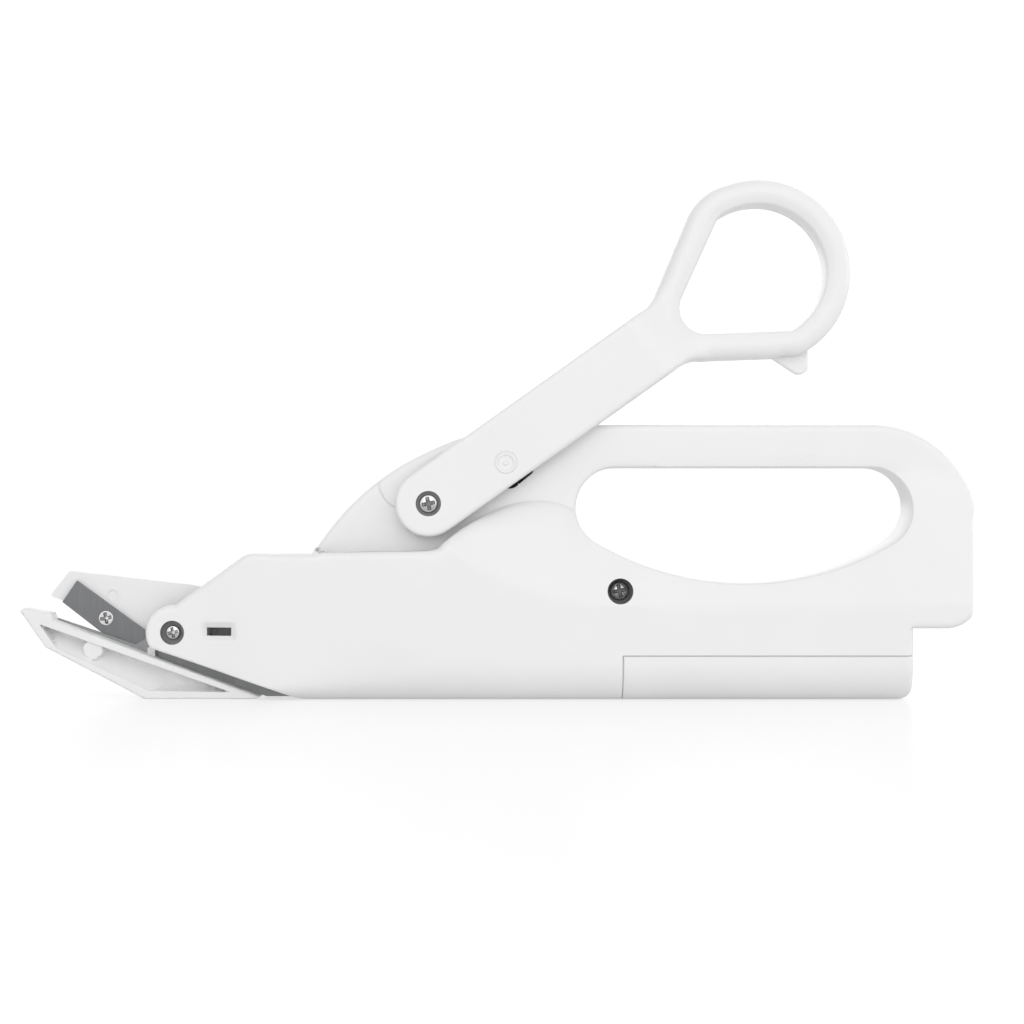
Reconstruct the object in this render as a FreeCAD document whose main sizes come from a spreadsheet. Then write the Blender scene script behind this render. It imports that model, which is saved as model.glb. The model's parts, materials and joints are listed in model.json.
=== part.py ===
"""Cordless electric scissors: a battery-driven cutting jaw in a D-handled casing, with a thumb-ring lever."""
import FreeCAD, Part
import os
import re
from math import asin, atan2, cos, degrees, pi, radians, sin, sqrt, tan

from FreeCAD import Placement, Rotation, Vector
from fcgear import involute
from fcgear.fcgear import FCWireBuilder

# Driving dimensions in millimetres and degrees. X runs from the nose (-X) to the handle, Y across, Z up.
SIZES = {
    # casing
    "wall": 2.0,
    "rear_x": 126.75,
    "rear_crown": 2.6,
    "half_width": 17.0,
    "ear_half_width": 10.0,
    "floor_edge_round": 10.0,
    "bar_half_width": 9.5,
    "bar_top": 72.7,
    "fin_half_width": 7.7,
    "tub_top": 38.7,
    "side_break": 34.0,
    "ear_round": 7.2,
    "notch_x": 108.8,
    "notch_top": 19.1,
    # hand hole
    "hole_top": 61.4,
    "hole_bottom": 30.8,
    "hole_arc": 77.0,
    "hole_middle_x": 65.0,
    "hole_end_round": 10.7,
    # battery door
    "door_x": 32.7,
    "door_top": 12.0,
    "door_gap": 0.15,
    # thumb-ring lever
    "lever_x": -18.3,
    "lever_z": 51.8,
    "lever_end_round": 8.75,
    "lever_lean": 36.0,
    "lever_stroke": 10.0,
    "arm_inside": 10.0,
    "arm_outside": 13.3,
    "ring_half_width": 7.5,
    "ring_x": 69.3,
    "ring_z": 113.45,
    "ring_outer": 24.6,
    "ring_inner": 18.05,
    "drive_pin_x": 2.1,
    "drive_pin_z": 62.5,
    "drive_pin_round": 2.0,
    "lever_bush_round": 3.5,
    # jaws
    "jaw_x": -86.1,
    "jaw_z": 17.7,
    "jaw_bush_round": 2.5,
    "blade_thick": 1.2,
    "shear_y": 0.8,
    "blade_gap": 0.05,
    "lower_jaw_face": -8.0,
    "upper_jaw_face": 8.0,
    "running_gap": 0.05,
    # crank and gears
    "crank_z": 16.5,
    "crank_throw": 3.5,
    "crank_rest_angle": 30.0,
    "yoke_x": -58.1,
    "crank_pin_round": 1.5,
    "yoke_gap": 0.55,
    "idler_y": 4.5,
    "idler_z": 27.083,
    "motor_z": 18.433,
    "gear_module": 0.5,
    "pinion_teeth": 9,
    "idler_large_teeth": 30,
    "idler_small_teeth": 10,
    "crank_teeth": 36,
    "front_plate_x": -52.6,
    "middle_plate_x": -46.4,
    "rear_plate_x": -40.6,
    "plate_thick": 1.5,
    "motor_long": 25.0,
    # batteries
    "cell_round": 7.15,
    "cell_long": 49.5,
    "cell_x": 46.4,
    "cell_y": 7.22,
    "cell_z": 9.4,
    "tray_x": 41.0,
    "tray_end_x": 102.4,
    # switch
    "switch_x": -2.5,
    "switch_z": 38.0,
    "switch_tall": 15.0,
    "switch_long": 11.0,
    "switch_half_wide": 5.2,
    # fasteners
    "screw_round": 1.5,
    "small_screw_round": 1.0,
    "body_screw_x": 32.1,
    "body_screw_z": 28.8,
    "body_recess_round": 3.35,
    "body_head_round": 2.5,
    "jaw_recess_round": 3.15,
    "jaw_head_round": 2.2,
    "lever_recess_round": 3.3,
    "lever_head_round": 2.4,
}

doc = FreeCAD.newDocument("cordless_scissors")
sheet = doc.addObject("Spreadsheet::Sheet", "Sizes")
for row, (alias, number) in enumerate(SIZES.items(), start=1):
    sheet.set(f"A{row}", alias)
    sheet.set(f"B{row}", str(number))
    sheet.setAlias(f"B{row}", alias)
doc.recompute()

PIECES = []
WORD = re.compile(r"[a-z][a-z_0-9]*")
TURN = {
    "X": Rotation(Vector(0, 1, 0), 90),
    "Y": Rotation(Vector(1, 0, 0), -90),
    "Z": Rotation(),
}
PLANE_ROLE = {"X": "YZ_Plane", "Y": "XZ_Plane", "Z": "XY_Plane"}


def size(alias):
    """The sheet's number for one alias."""
    return float(sheet.get(alias))


def cell(formula):
    """A formula in aliases and numbers, written for setExpression."""
    return WORD.sub(lambda found: "Sizes." + found.group(0), str(formula))


def bind(item, **formulas):
    for name, formula in formulas.items():
        item.setExpression(name, cell(formula))
    return item


def place(item, at, turn=Rotation()):
    """Puts an item at a point given as three formulas."""
    item.Placement = Placement(Vector(), turn)
    for letter, formula in zip("xyz", at):
        item.setExpression("Placement.Base." + letter, cell(formula))
    return item


def rod(name, radius, length, at, along="Y"):
    item = doc.addObject("Part::Cylinder", name)
    bind(item, Radius=radius, Height=length)
    return place(item, at, TURN[along])


def taper(name, radius, end_radius, length, at, along="Y"):
    item = doc.addObject("Part::Cone", name)
    bind(item, Radius1=radius, Radius2=end_radius, Height=length)
    return place(item, at, TURN[along])


def block(name, lengths, at):
    item = doc.addObject("Part::Box", name)
    bind(item, Length=lengths[0], Width=lengths[1], Height=lengths[2])
    return place(item, at)


def fuse(name, *items):
    item = doc.addObject("Part::MultiFuse", name)
    item.Shapes = list(items)
    item.Refine = True
    return item


def common(name, *items):
    item = doc.addObject("Part::MultiCommon", name)
    item.Shapes = list(items)
    return item


def cut(name, base, *tools):
    item = doc.addObject("Part::Cut", name)
    item.Base = base
    item.Tool = tools[0] if len(tools) == 1 else fuse(name + "_tools", *tools)
    return item


def group(name, items):
    """Separate identical solids that share one node."""
    item = doc.addObject("Part::Compound", name)
    item.Links = items
    return item


def turned(name, item, pivot, angle):
    """A copy of an item, turned about an axis along Y through the pivot."""
    copy = doc.addObject("Part::Compound", name)
    copy.Links = [item]
    base = Vector(pivot[0], 0, pivot[1])
    turn = Placement(Vector(), Rotation(Vector(0, 1, 0), angle), base)
    copy.Placement = turn
    return copy


def edges_of(steps):
    """Closed outline: (u, v) ends a straight run, (mid u, mid v, u, v) ends an arc through its middle."""
    ends = [Vector(step[-2], step[-1], 0) for step in steps]
    edges = []
    for i, step in enumerate(steps):
        start, end = ends[i - 1], ends[i]
        if len(step) == 4:
            edges.append(Part.Arc(start, Vector(step[0], step[1], 0), end))
        elif (end - start).Length > 1e-6:
            edges.append(Part.LineSegment(start, end))
    return edges


def rounded(corners):
    """Steps of a polygon whose corners are (u, v) or (u, v, radius)."""
    steps = []
    count = len(corners)
    for i, corner in enumerate(corners):
        here = Vector(corner[0], corner[1], 0)
        if len(corner) == 2:
            steps.append((here.x, here.y))
            continue
        before = Vector(*corners[i - 1][:2], 0) - here
        after = Vector(*corners[(i + 1) % count][:2], 0) - here
        half = before.getAngle(after) / 2
        run = corner[2] / tan(half)
        bisector = (before.normalize() + after.normalize()).normalize()
        middle = here + bisector * (corner[2] / sin(half) - corner[2])
        start, end = here + before * run, here + after * run
        steps.append((start.x, start.y))
        steps.append((middle.x, middle.y, end.x, end.y))
    return steps


def circle(u, v, radius):
    return [(u, v - radius, u + radius, v), (u, v + radius, u - radius, v)]


def shrunk(steps, distance):
    """The outline moved inwards by a distance, as edges."""
    wire = Part.Wire([edge.toShape() for edge in edges_of(steps)])
    moved = wire.makeOffset2D(-distance)
    edges = []
    for edge in moved.Edges:
        first, last = edge.ParameterRange
        ends = edge.valueAt(first), edge.valueAt(last)
        if edge.Curve.TypeId == "Part::GeomLine":
            edges.append(Part.LineSegment(*ends))
        else:
            edges.append(Part.Arc(ends[0], edge.valueAt((first + last) / 2), ends[1]))
    return edges


def prism(name, outlines, start, end, axis="Y"):
    """A PartDesign body: a sketch of an outline and its holes, padded along an axis between two formulas."""
    body = doc.addObject("PartDesign::Body", name)
    sketch = body.newObject("Sketcher::SketchObject", name + "_sketch")
    plane = next(f for f in body.Origin.OriginFeatures if f.Role == PLANE_ROLE[axis])
    sketch.AttachmentSupport = [(plane, "")]
    sketch.MapMode = "FlatFace"
    for outline in outlines:
        edges = edges_of(outline) if isinstance(outline[0], tuple) else outline
        sketch.addGeometry(edges, False)
    pad = body.newObject("PartDesign::Pad", name + "_pad")
    pad.Profile = sketch
    pad.Reversed = axis == "Y"
    bind(pad, Length=f"({end}) - ({start})")
    body.setExpression("Placement.Base." + axis.lower(), cell(start))
    return body


def piece(label, item):
    """Registers a finished sub-part under its node name."""
    item.Label = label
    PIECES.append(item)
    return item


# ---------------------------------------------------------------- casing


def side_outline():
    """The casing from the side, clockwise from the front of the tub's top."""
    ear_x, ear_z, ear = size("jaw_x"), size("jaw_z"), size("ear_round")
    bar, notch, notch_top, rear = size("bar_top"), size("notch_x"), size("notch_top"), size("rear_x")
    corner, foot = 27.6, 9.3
    cut_in = 1 - cos(pi / 4)
    crown, heel = (polar((ear_x, ear_z), ear, radians(angle)) for angle in (86.0, -146.0))
    tub = rounded([crown, (-66.3, 38.6, 4.0), (-49.0, size("tub_top"))])[1:]
    fin = [(-37.4, 53.1, -18.8, 65.5), (-6.0, 70.4, 8.0, bar)]
    back = [
        (rear - corner, bar),
        (rear - corner * cut_in, bar - corner * cut_in, rear, bar - corner),
        (rear, notch_top + foot),
        (rear - foot * cut_in, notch_top + foot * cut_in, rear - foot, notch_top),
        (notch, notch_top),
        (notch, 2.0),
        (notch - 0.88, -0.12, notch - 3.0, -1.0),
    ]
    front = [(-48.0, -1.0), heel, (ear_x - ear, ear_z, *crown)]
    return tub + fin + back + front


def hole_outline():
    """The hand hole: a straight top, two end rounds and one long arc below."""
    top, big, small = size("hole_top"), size("hole_arc"), size("hole_end_round")
    middle_x = size("hole_middle_x")
    middle_z = size("hole_bottom") + big
    end_z = top - small
    reach = sqrt((big - small) ** 2 - (middle_z - end_z) ** 2)
    lean = atan2(end_z - middle_z, reach)
    low_x, low_z = big * cos(lean), middle_z + big * sin(lean)
    half = (lean + pi / 2) / 2
    far_x, far_z = reach + small * cos(half), end_z + small * sin(half)
    return [
        (middle_x + reach, top),
        (middle_x + far_x, far_z, middle_x + low_x, low_z),
        (middle_x, middle_z - big, middle_x - low_x, low_z),
        (middle_x - far_x, far_z, middle_x - reach, top),
    ]


def plan_outline(inset):
    """The casing from above, or the hollow inside it."""
    spare = 1.0
    half, ear = size("half_width") - inset + spare, size("ear_half_width") - inset
    rear = size("rear_x") - inset
    front = [(-96.0, ear), (-79.0, ear + 0.6), (-66.0, 13.0 - inset, 40.0), (-20.0, half)]
    right = front + [(rear - size("rear_crown"), half, 6.0 - inset), (rear, 3.0, 28.0)]
    left = [(corner[0], -corner[1], *corner[2:]) for corner in reversed(right)]
    return rounded(right + left)


def section_outline(inset):
    """The casing across its length: a rounded floor, upright sides that lean in to the bar."""
    half, bar = size("half_width") - inset, size("bar_half_width") - inset
    right = [
        (half, inset, size("floor_edge_round") - inset),
        (half, size("side_break"), 30.0),
        (bar, 60.0, 20.0),
        (bar, size("bar_top") + 10.0),
    ]
    left = [(-corner[0], *corner[1:]) for corner in reversed(right)]
    return rounded(right + left)


def hump_edge(drop):
    """The edge where the tub swells up beside the fin, lowered by a drop."""
    return [
        (-90.0, 38.9 - drop),
        (-16.6 + drop / 2, 39.8 - drop),
        (-12.4 + drop / 2, 43.6 - drop, -6.2, 47.55 - drop),
        (1.6, 51.2 - drop),
        (10.6, 52.9 - drop, 20.0, 50.6 - drop),
        (44.0, 50.6 - drop),
        (44.0, 90.0),
        (-90.0, 90.0),
    ]


def fin_recess(name, side, drop, floor):
    """The space beside the fin: its floor leans out to the bar's full width behind the lever's window."""
    region = prism(name + "_region", [hump_edge(drop)], "-30", "30")
    bar = size("bar_half_width") - (size("fin_half_width") - floor)
    corners = [(-90.0, floor), (16.6, floor), (41.0, bar), (41.0, 30.0), (-90.0, 30.0)]
    plan = [(x, side * y) for x, y in corners]
    reach = prism(name + "_reach", [plan], "0", "100", "Z")
    return common(name, region, reach)


def casing_solid(name, inset):
    """The casing's outer form (inset 0), or the hollow inside it (inset of one wall)."""
    side = shrunk(side_outline(), inset) if inset else side_outline()
    hole = shrunk(hole_outline(), -inset) if inset else hole_outline()
    form = common(
        name + "_form",
        prism(name + "_side", [side], "-30", "30"),
        prism(name + "_plan", [plan_outline(inset)], "-10", "100", "Z"),
        prism(name + "_section", [section_outline(inset)], "-140", "140", "X"),
    )
    return cut(
        name,
        form,
        fin_recess(name + "_near_recess", -1, inset, size("fin_half_width") - inset),
        fin_recess(name + "_far_recess", 1, inset, size("fin_half_width") - inset),
        prism(name + "_hand_hole", [hole], "-30", "30"),
    )


def polar(centre, radius, angle):
    return (centre[0] + radius * cos(angle), centre[1] + radius * sin(angle))


def window_outline():
    """The near wall's window, which shows the drive pin and the switch plunger under the arm."""
    low, r = (3.1, 58.8), 3.0
    right = polar(low, r, radians(-47))
    return [
        (9.2, 60.0),
        (9.6, 66.6),
        (-2.0, 67.0),
        (low[0] - r, low[1] + 1.0),
        (*polar(low, r, radians(225)), *polar(low, r, radians(-90))),
        (*polar(low, r, radians(-68)), *right),
    ]


def pin_slot_outline():
    """The far wall's slot: the drive pin's path about the lever's hinge."""
    hinge = (size("lever_x"), size("lever_z"))
    across, up = size("drive_pin_x") - hinge[0], size("drive_pin_z") - hinge[1]
    path, half = sqrt(across**2 + up**2), size("drive_pin_round") + 0.6
    top = atan2(up, across)
    low = top - radians(size("lever_stroke"))
    middle, spare = (top + low) / 2, half / path
    return [
        (*polar(hinge, path, top + spare), *polar(hinge, path + half, top)),
        (*polar(hinge, path + half, middle), *polar(hinge, path + half, low)),
        (*polar(hinge, path, low - spare), *polar(hinge, path - half, low)),
        (*polar(hinge, path - half, middle), *polar(hinge, path - half, top)),
    ]


BLADE_POSTS = ((-76.5, 12.0), (-69.0, 9.4))
# Ribs across the casing's floor: front face, thickness and top.
RIBS = ((-52.6, 1.5, 6.4), (-46.4, 1.5, 6.4), (-40.6, 1.5, 6.4), (-33.0, 1.6, 25.0), (-21.0, 1.6, 25.0))


def pilots(name, places, length, start):
    """Bores for small screws."""
    return [rod(f"{name}_{i}", "small_screw_round", length, (x, start, z)) for i, (x, z) in enumerate(places)]


def casing():
    """Both half shells and the battery door, from one hollow form."""
    outside = casing_solid("casing_outside", 0.0)
    inside = casing_solid("casing_inside", size("wall"))
    gap = size("door_gap")
    skin = cut("casing_skin", outside, inside)
    door_space = block("door_space", (110, 60, "door_top + 10"), ("door_x", -30, -10))
    door_reach = block(
        "door_reach", (110, 60, "door_top + 10 - door_gap"), ("door_x + door_gap", -30, -10)
    )
    lips = []
    for i, (foot_y, lip_y) in enumerate(((-15.5, -14.9), (14.35, 14.35))):
        lips.append(block(f"door_foot_{i}", (72.0, 1.15, 1.2), ("door_x + 2.0", foot_y, "door_top - 1.4")))
        lips.append(block(f"door_lip_{i}", (73.8, 0.55, 4.0), ("door_x + 2.0", lip_y, "door_top - 1.4")))
    door = fuse("door_with_lips", common("door_skin", skin, door_reach), *lips)
    piece("battery_door", door)

    ribs = [
        common(f"rib_{i}", inside, block(f"rib_{i}_space", (thick, 60, top), (start, -30, 0)))
        for i, (start, thick, top) in enumerate(RIBS)
    ]
    motor_space = block("motor_space", (30, 20.1, 20), ("rear_plate_x", -10.05, "motor_z - 7.55"))
    cradle = cut("casing_ribs", fuse("all_ribs", *ribs), motor_space)
    walls = fuse("casing_walls", cut("casing_skin_open", skin, door_space), cradle)

    lever_tube = rod("lever_tube", 6.0, "2 * fin_half_width", ("lever_x", "-fin_half_width", "lever_z"))
    screw_tube = rod("screw_tube", 5.0, 31.0, ("body_screw_x", -15.5, "body_screw_z"))
    near_ear = block("near_ear_fill", (20.0, 9.0, 40), (-96.0, -10.0, 0))
    far_ear = block("far_ear_fill", (20.0, 3.5, 40), (-96.0, 8.5, 0))
    ear_fill = common("ear_fill", outside, fuse("ear_blocks", near_ear, far_ear))
    blade_posts = [
        rod(f"blade_post_{i}", 2.8, 9.0, (x, -9.4, z)) for i, (x, z) in enumerate(BLADE_POSTS)
    ]
    solid = fuse("casing_solid", walls, lever_tube, screw_tube, ear_fill, *blade_posts)
    opened = cut(
        "casing_open",
        solid,
        prism("pin_window", [window_outline()], "-30", "0"),
        prism("pin_slot", [pin_slot_outline()], "0", "30"),
        block("mouth", (23.0, 9.5, 60), (-97.0, -1.0, 0)),
        block("blade_slot", (46.0, 1.24, 12), (-97.0, -0.42, -1)),
        block("hook_slot", (10.2, 3.8, 6), (79.2, -1.9, "bar_top - 5")),
        rod("lever_bore", "lever_bush_round + running_gap", 40, ("lever_x", -20, "lever_z")),
        block("near_lip_slot", (8.0, 0.85, 4.0), ("notch_x - 5", -15.05, "door_top - 1")),
        block("far_lip_slot", (8.0, 0.85, 4.0), ("notch_x - 5", 14.2, "door_top - 1")),
    )
    near_half = common("near_half", opened, block("near_space", (300, 40, 100), (-150, -40, -5)))
    far_half = common("far_half", opened, block("far_space", (300, 40, 100), (-150, 0, -5)))
    near = cut(
        "near_shell_body",
        near_half,
        rod("body_screw_recess", "body_recess_round", 20, ("body_screw_x", -28.2, "body_screw_z")),
        rod("body_screw_hole", "screw_round + 0.15", 30, ("body_screw_x", -28, "body_screw_z")),
        rod("jaw_screw_recess", "jaw_recess_round", 10, ("jaw_x", -17.0, "jaw_z")),
        rod("jaw_screw_hole", "screw_round", 30, ("jaw_x", -28, "jaw_z")),
        prism("slot_bevel", [[(-78.7, 15.2), (-68.7, 15.2), (-68.7, 20.9), (-78.7, 20.9)]], -30, -11.1),
        block("snap_slot", (6.6, 20, 2.3), (-77.0, -20, 16.85)),
        *pilots("blade_pilot", BLADE_POSTS, 8.0, -6.4),
    )
    far = cut(
        "far_shell_body",
        far_half,
        rod("body_screw_pilot", "screw_round", 12, ("body_screw_x", 0, "body_screw_z")),
        rod("jaw_screw_pilot", "screw_round", 1.6, ("jaw_x", 8.0, "jaw_z")),
    )
    piece("near_shell", near)
    piece("far_shell", far)


def phillips_screw(name, x, z, head_radius, shaft_radius, head_y, tip_y):
    """A pan-head screw along +Y: head's outer face at head_y, with a cross recess."""
    tall = head_radius * 0.62
    head = taper(name + "_head", head_radius * 0.82, head_radius, tall * 0.55, (x, head_y, z))
    brim = rod(name + "_brim", head_radius, tall * 0.45, (x, head_y + tall * 0.55, z))
    shaft = rod(name + "_shaft", shaft_radius, tip_y - head_y - tall * 0.5, (x, head_y + tall * 0.5, z))
    arm = head_radius * 0.62
    slot_y = head_y - tall * 0.5
    slots = [
        block(f"{name}_cross_{i}", (long, tall * 1.1, high), (x - long / 2, slot_y, z - high / 2))
        for i, (long, high) in enumerate(((2 * arm, arm * 0.4), (arm * 0.4, 2 * arm)))
    ]
    return cut(name + "_screw", fuse(name + "_solid", head, brim, shaft), *slots)


def flush_screws(name, places, head_y, tip_y, direction):
    """Countersunk screws along Y, heads flush with a plate's face at head_y."""
    items = []
    for i, (x, z) in enumerate(places):
        low = min(head_y, head_y + direction * 1.0)
        wide, thin = "small_screw_round * 2.1", "small_screw_round"
        radii = (wide, thin) if direction > 0 else (thin, wide)
        head = taper(f"{name}_head_{i}", *radii, 1.0, (x, low, z))
        start = min(head_y, tip_y) if direction < 0 else head_y + 0.5
        length = abs(tip_y - head_y) - 0.5
        shaft = rod(f"{name}_shaft_{i}", "small_screw_round", length, (x, start, z))
        items.append(fuse(f"{name}_{i}", head, shaft))
    return items


# ---------------------------------------------------------------- jaws


def lower_blade_outline():
    """The fixed blade: its cutting edge in front, its neck and its tail inside the casing."""
    return rounded(
        [
            (-118.6, 21.45),
            (-97.0, 14.1),
            (-92.4, 17.0, 3.0),
            (-92.4, 23.6, 5.5),
            (-80.0, 23.6, 5.5),
            (-77.0, 15.4, 3.0),
            (-57.0, 6.6, 2.0),
            (-53.4, 0.25),
            (-62.0, 0.25),
            (-117.0, 18.0),
        ]
    )


def lower_jaw_outline():
    return rounded(
        [
            (-126.75, 23.3),
            (-125.6, 24.15),
            (-118.5, 22.8),
            (-117.8, 20.75),
            (-63.2, 0.6),
            (-64.3, 0.0),
            (-93.6, 0.0, 2.0),
            (-120.0, 13.7, 2.0),
        ]
    )


def lower_pocket_outline():
    return rounded([(-121.6, 19.9, 0.1), (-117.2, 13.6, 1.0), (-92.5, 2.2, 1.5), (-70.7, 1.8, 0.1)])


JAW_SCREW = (-107.5, 13.1)


def lower_jaw():
    """The fixed blade and the white shoe under it, which one screw and a lug hold together."""
    back = "shear_y - blade_thick"
    blade = cut(
        "lower_blade_body",
        prism("lower_blade_plate", [lower_blade_outline()], back, "shear_y"),
        rod("lower_blade_bore", "jaw_bush_round", 4, ("jaw_x", -2, "jaw_z")),
        *flush_screws("blade_seat", (JAW_SCREW, *BLADE_POSTS), 0.8, -6.0, -1),
    )
    piece("lower_blade", blade)
    body = prism("lower_jaw_body", [lower_jaw_outline()], "lower_jaw_face", back)
    pocket = prism("lower_jaw_pocket", [lower_pocket_outline()], "lower_jaw_face - 1", "-2.2")
    boss = rod("jaw_boss", 2.7, 5.2, (JAW_SCREW[0], -7.2, JAW_SCREW[1]))
    web = block("jaw_boss_web", (1.0, 4.5, 4.4), (JAW_SCREW[0] - 1.9, -6.7, JAW_SCREW[1] - 4.7))
    lug = block("jaw_lug", (2.0, 2.6, 3.2), (-93.6, "shear_y - blade_thick - 2.6", 10.2))
    shoe = cut(
        "lower_jaw_shoe",
        fuse("lower_jaw_ribbed", cut("lower_jaw_hollow", body, pocket), boss, web, lug),
        *pilots("jaw_pilot", [JAW_SCREW], 5.6, -6.0),
    )
    piece("lower_jaw", shoe)
    piece("lower_jaw_screw", flush_screws("jaw_fix", [JAW_SCREW], 0.8, -6.0, -1)[0])
    posts = flush_screws("blade_fix", BLADE_POSTS, 0.8, -6.0, -1)
    piece("lower_blade_screws", group("lower_blade_screw_group", posts))


def yoke_rest_turn():
    """How far the yoke is turned from level at rest."""
    reach = size("yoke_x") - size("jaw_x")
    level = asin((size("crank_z") - size("jaw_z")) / reach)
    low = size("crank_z") - size("crank_throw") * cos(radians(size("crank_rest_angle"))) - size("jaw_z")
    return degrees(level - asin(low / (reach / cos(level))))


def upper_jaw():
    """The cutting jaw: its arm with the slotted yoke inside the casing, its blade and the blade's screw."""
    front = "shear_y + blade_gap"
    back = "shear_y + blade_gap + blade_thick"
    outline = rounded(
        [
            (-115.3, 33.75, 1.2),
            (-80.0, 29.7, 6.0),
            (-71.0, 21.5, 8.0),
            (-58.6, 18.4),
            (-58.6, 9.0),
            (-78.0, 11.2, 10.0),
            (-86.0, 10.6, 5.0),
            (-94.0, 11.8, 3.0),
            (-102.0, 15.1),
            (-117.3, 25.9),
            (-120.6, 27.0, 0.8),
        ]
    )
    arm = prism("upper_jaw_arm", [outline], back, "upper_jaw_face")
    pivot = (size("jaw_x"), size("jaw_z"))
    yoke = block("yoke_block", (4.0, 10.6, 10.0), ("yoke_x - 2", -2.6, "crank_z - 5"))
    slot = prism(
        "yoke_slot",
        [rounded([(-0.5, 14.45, 0.9), (5.6, 14.45, 0.9), (5.6, 18.55, 0.9), (-0.5, 18.55, 0.9)])],
        "yoke_x - 6",
        "yoke_x + 6",
        "X",
    )
    rest = yoke_rest_turn()
    solid = fuse("upper_jaw_solid", arm, turned("yoke_at_rest", yoke, pivot, rest))
    blade_screw = (-105.3, 21.1)
    jaw = cut(
        "upper_jaw_body",
        solid,
        turned("yoke_slot_at_rest", slot, pivot, rest),
        rod("upper_jaw_bore", "jaw_bush_round + running_gap", 20, ("jaw_x", -5, "jaw_z")),
        rod("upper_blade_pilot", "small_screw_round", 4.0, (blade_screw[0], 2.0, blade_screw[1])),
        rod("mould_mark", 1.4, 0.3, (-103.6, 2.05, 27.3)),
    )
    piece("upper_jaw", jaw)
    nose, top = Vector(-117.0, 25.45, 0), Vector(-113.1, 31.2, 0)
    edge, spine = (Vector(cos(radians(lean)), sin(radians(lean)), 0) for lean in (-37.8, -36.0))
    corners = [nose, top, top + spine * 29.0, nose + edge * 26.0]
    blade = cut(
        "upper_blade_body",
        prism("upper_blade_plate", [rounded([(c.x, c.y) for c in corners])], front, back),
        *flush_screws("upper_blade_seat", [blade_screw], 0.85, 5.0, 1),
    )
    piece("upper_blade", blade)
    piece("upper_blade_screw", flush_screws("upper_blade_fix", [blade_screw], 0.85, 5.0, 1)[0])


def jaw_pivot():
    at = size("jaw_x"), size("jaw_z")
    head, shank = size("jaw_head_round"), size("screw_round")
    piece("jaw_pivot_screw", phillips_screw("jaw_pivot", *at, head, shank, -9.0, 9.5))
    bush = cut(
        "jaw_bush_body",
        rod("jaw_bush_rod", "jaw_bush_round", 9.5, ("jaw_x", -1.0, "jaw_z")),
        rod("jaw_bush_bore", "screw_round", 12, ("jaw_x", -2.0, "jaw_z")),
    )
    piece("jaw_pivot_bush", bush)
    washer = cut(
        "jaw_washer_body",
        rod("jaw_washer_rod", 5.0, 0.4, ("jaw_x", 8.08, "jaw_z")),
        rod("jaw_washer_bore", "jaw_bush_round", 2, ("jaw_x", 7.5, "jaw_z")),
    )
    piece("jaw_pivot_washer", washer)


# ---------------------------------------------------------------- lever


def lever_outline():
    """The thumb-ring lever from the side, anticlockwise from the underside of its arm."""
    hinge, r = (size("lever_x"), size("lever_z")), size("lever_end_round")
    ring_x, ring_z, outer = size("ring_x"), size("ring_z"), size("ring_outer")
    hook_x, crown_x = 83.0, 61.0
    hook_z = ring_z - sqrt(outer**2 - (hook_x - ring_x) ** 2)
    crown_z = ring_z + sqrt(outer**2 - (ring_x - crown_x) ** 2)
    return [
        (48.6, 88.55),
        (51.0, 89.85, 54.5, 90.1),
        (73.0, 90.75),
        (79.0, 86.75),
        (80.6, 86.3, 82.3, 87.0),
        (82.85, 87.7, 83.0, 88.6),
        (hook_x, hook_z),
        (ring_x + outer, ring_z, crown_x, crown_z),
        (54.3, 133.2, 49.9, 126.6),
        (42.4, 108.7),
        (41.2, 106.1, 39.4, 103.6),
        polar(hinge, r, radians(125.25)),
        (*polar(hinge, r, radians(216)), *polar(hinge, r, radians(-54.65))),
    ]


def ring_hole_outline():
    """The thumb's hole: an arc concentric with the ring, cut short by two straight sides."""
    ring_x, ring_z, inner = size("ring_x"), size("ring_z"), size("ring_inner")
    low_x, high_x = 78.2, 60.5
    low_z = ring_z - sqrt(inner**2 - (low_x - ring_x) ** 2)
    high_z = ring_z + sqrt(inner**2 - (high_x - ring_x) ** 2)
    return [
        (low_x, low_z),
        (ring_x + inner, ring_z, high_x, high_z),
        (58.7, 127.9, 57.6, 126.0),
        (48.8, 106.6),
        (49.6, 99.8, 55.6, 96.9),
    ]


def fork_plan():
    """The lever seen square to its arm: two side arms that join short of the ring."""
    inside, outside, ring = size("arm_inside"), size("arm_outside"), size("ring_half_width")
    right = [(-14.0, outside), (70.0, outside, 20.0), (84.0, ring, 20.0), (142.0, ring)]
    left = [(corner[0], -corner[1], *corner[2:]) for corner in reversed(right)]
    fork = [(-14.0, -inside), (73.7, -inside, 7.0), (73.7, inside, 7.0), (-14.0, inside)]
    return rounded(right + left + fork)


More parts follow.
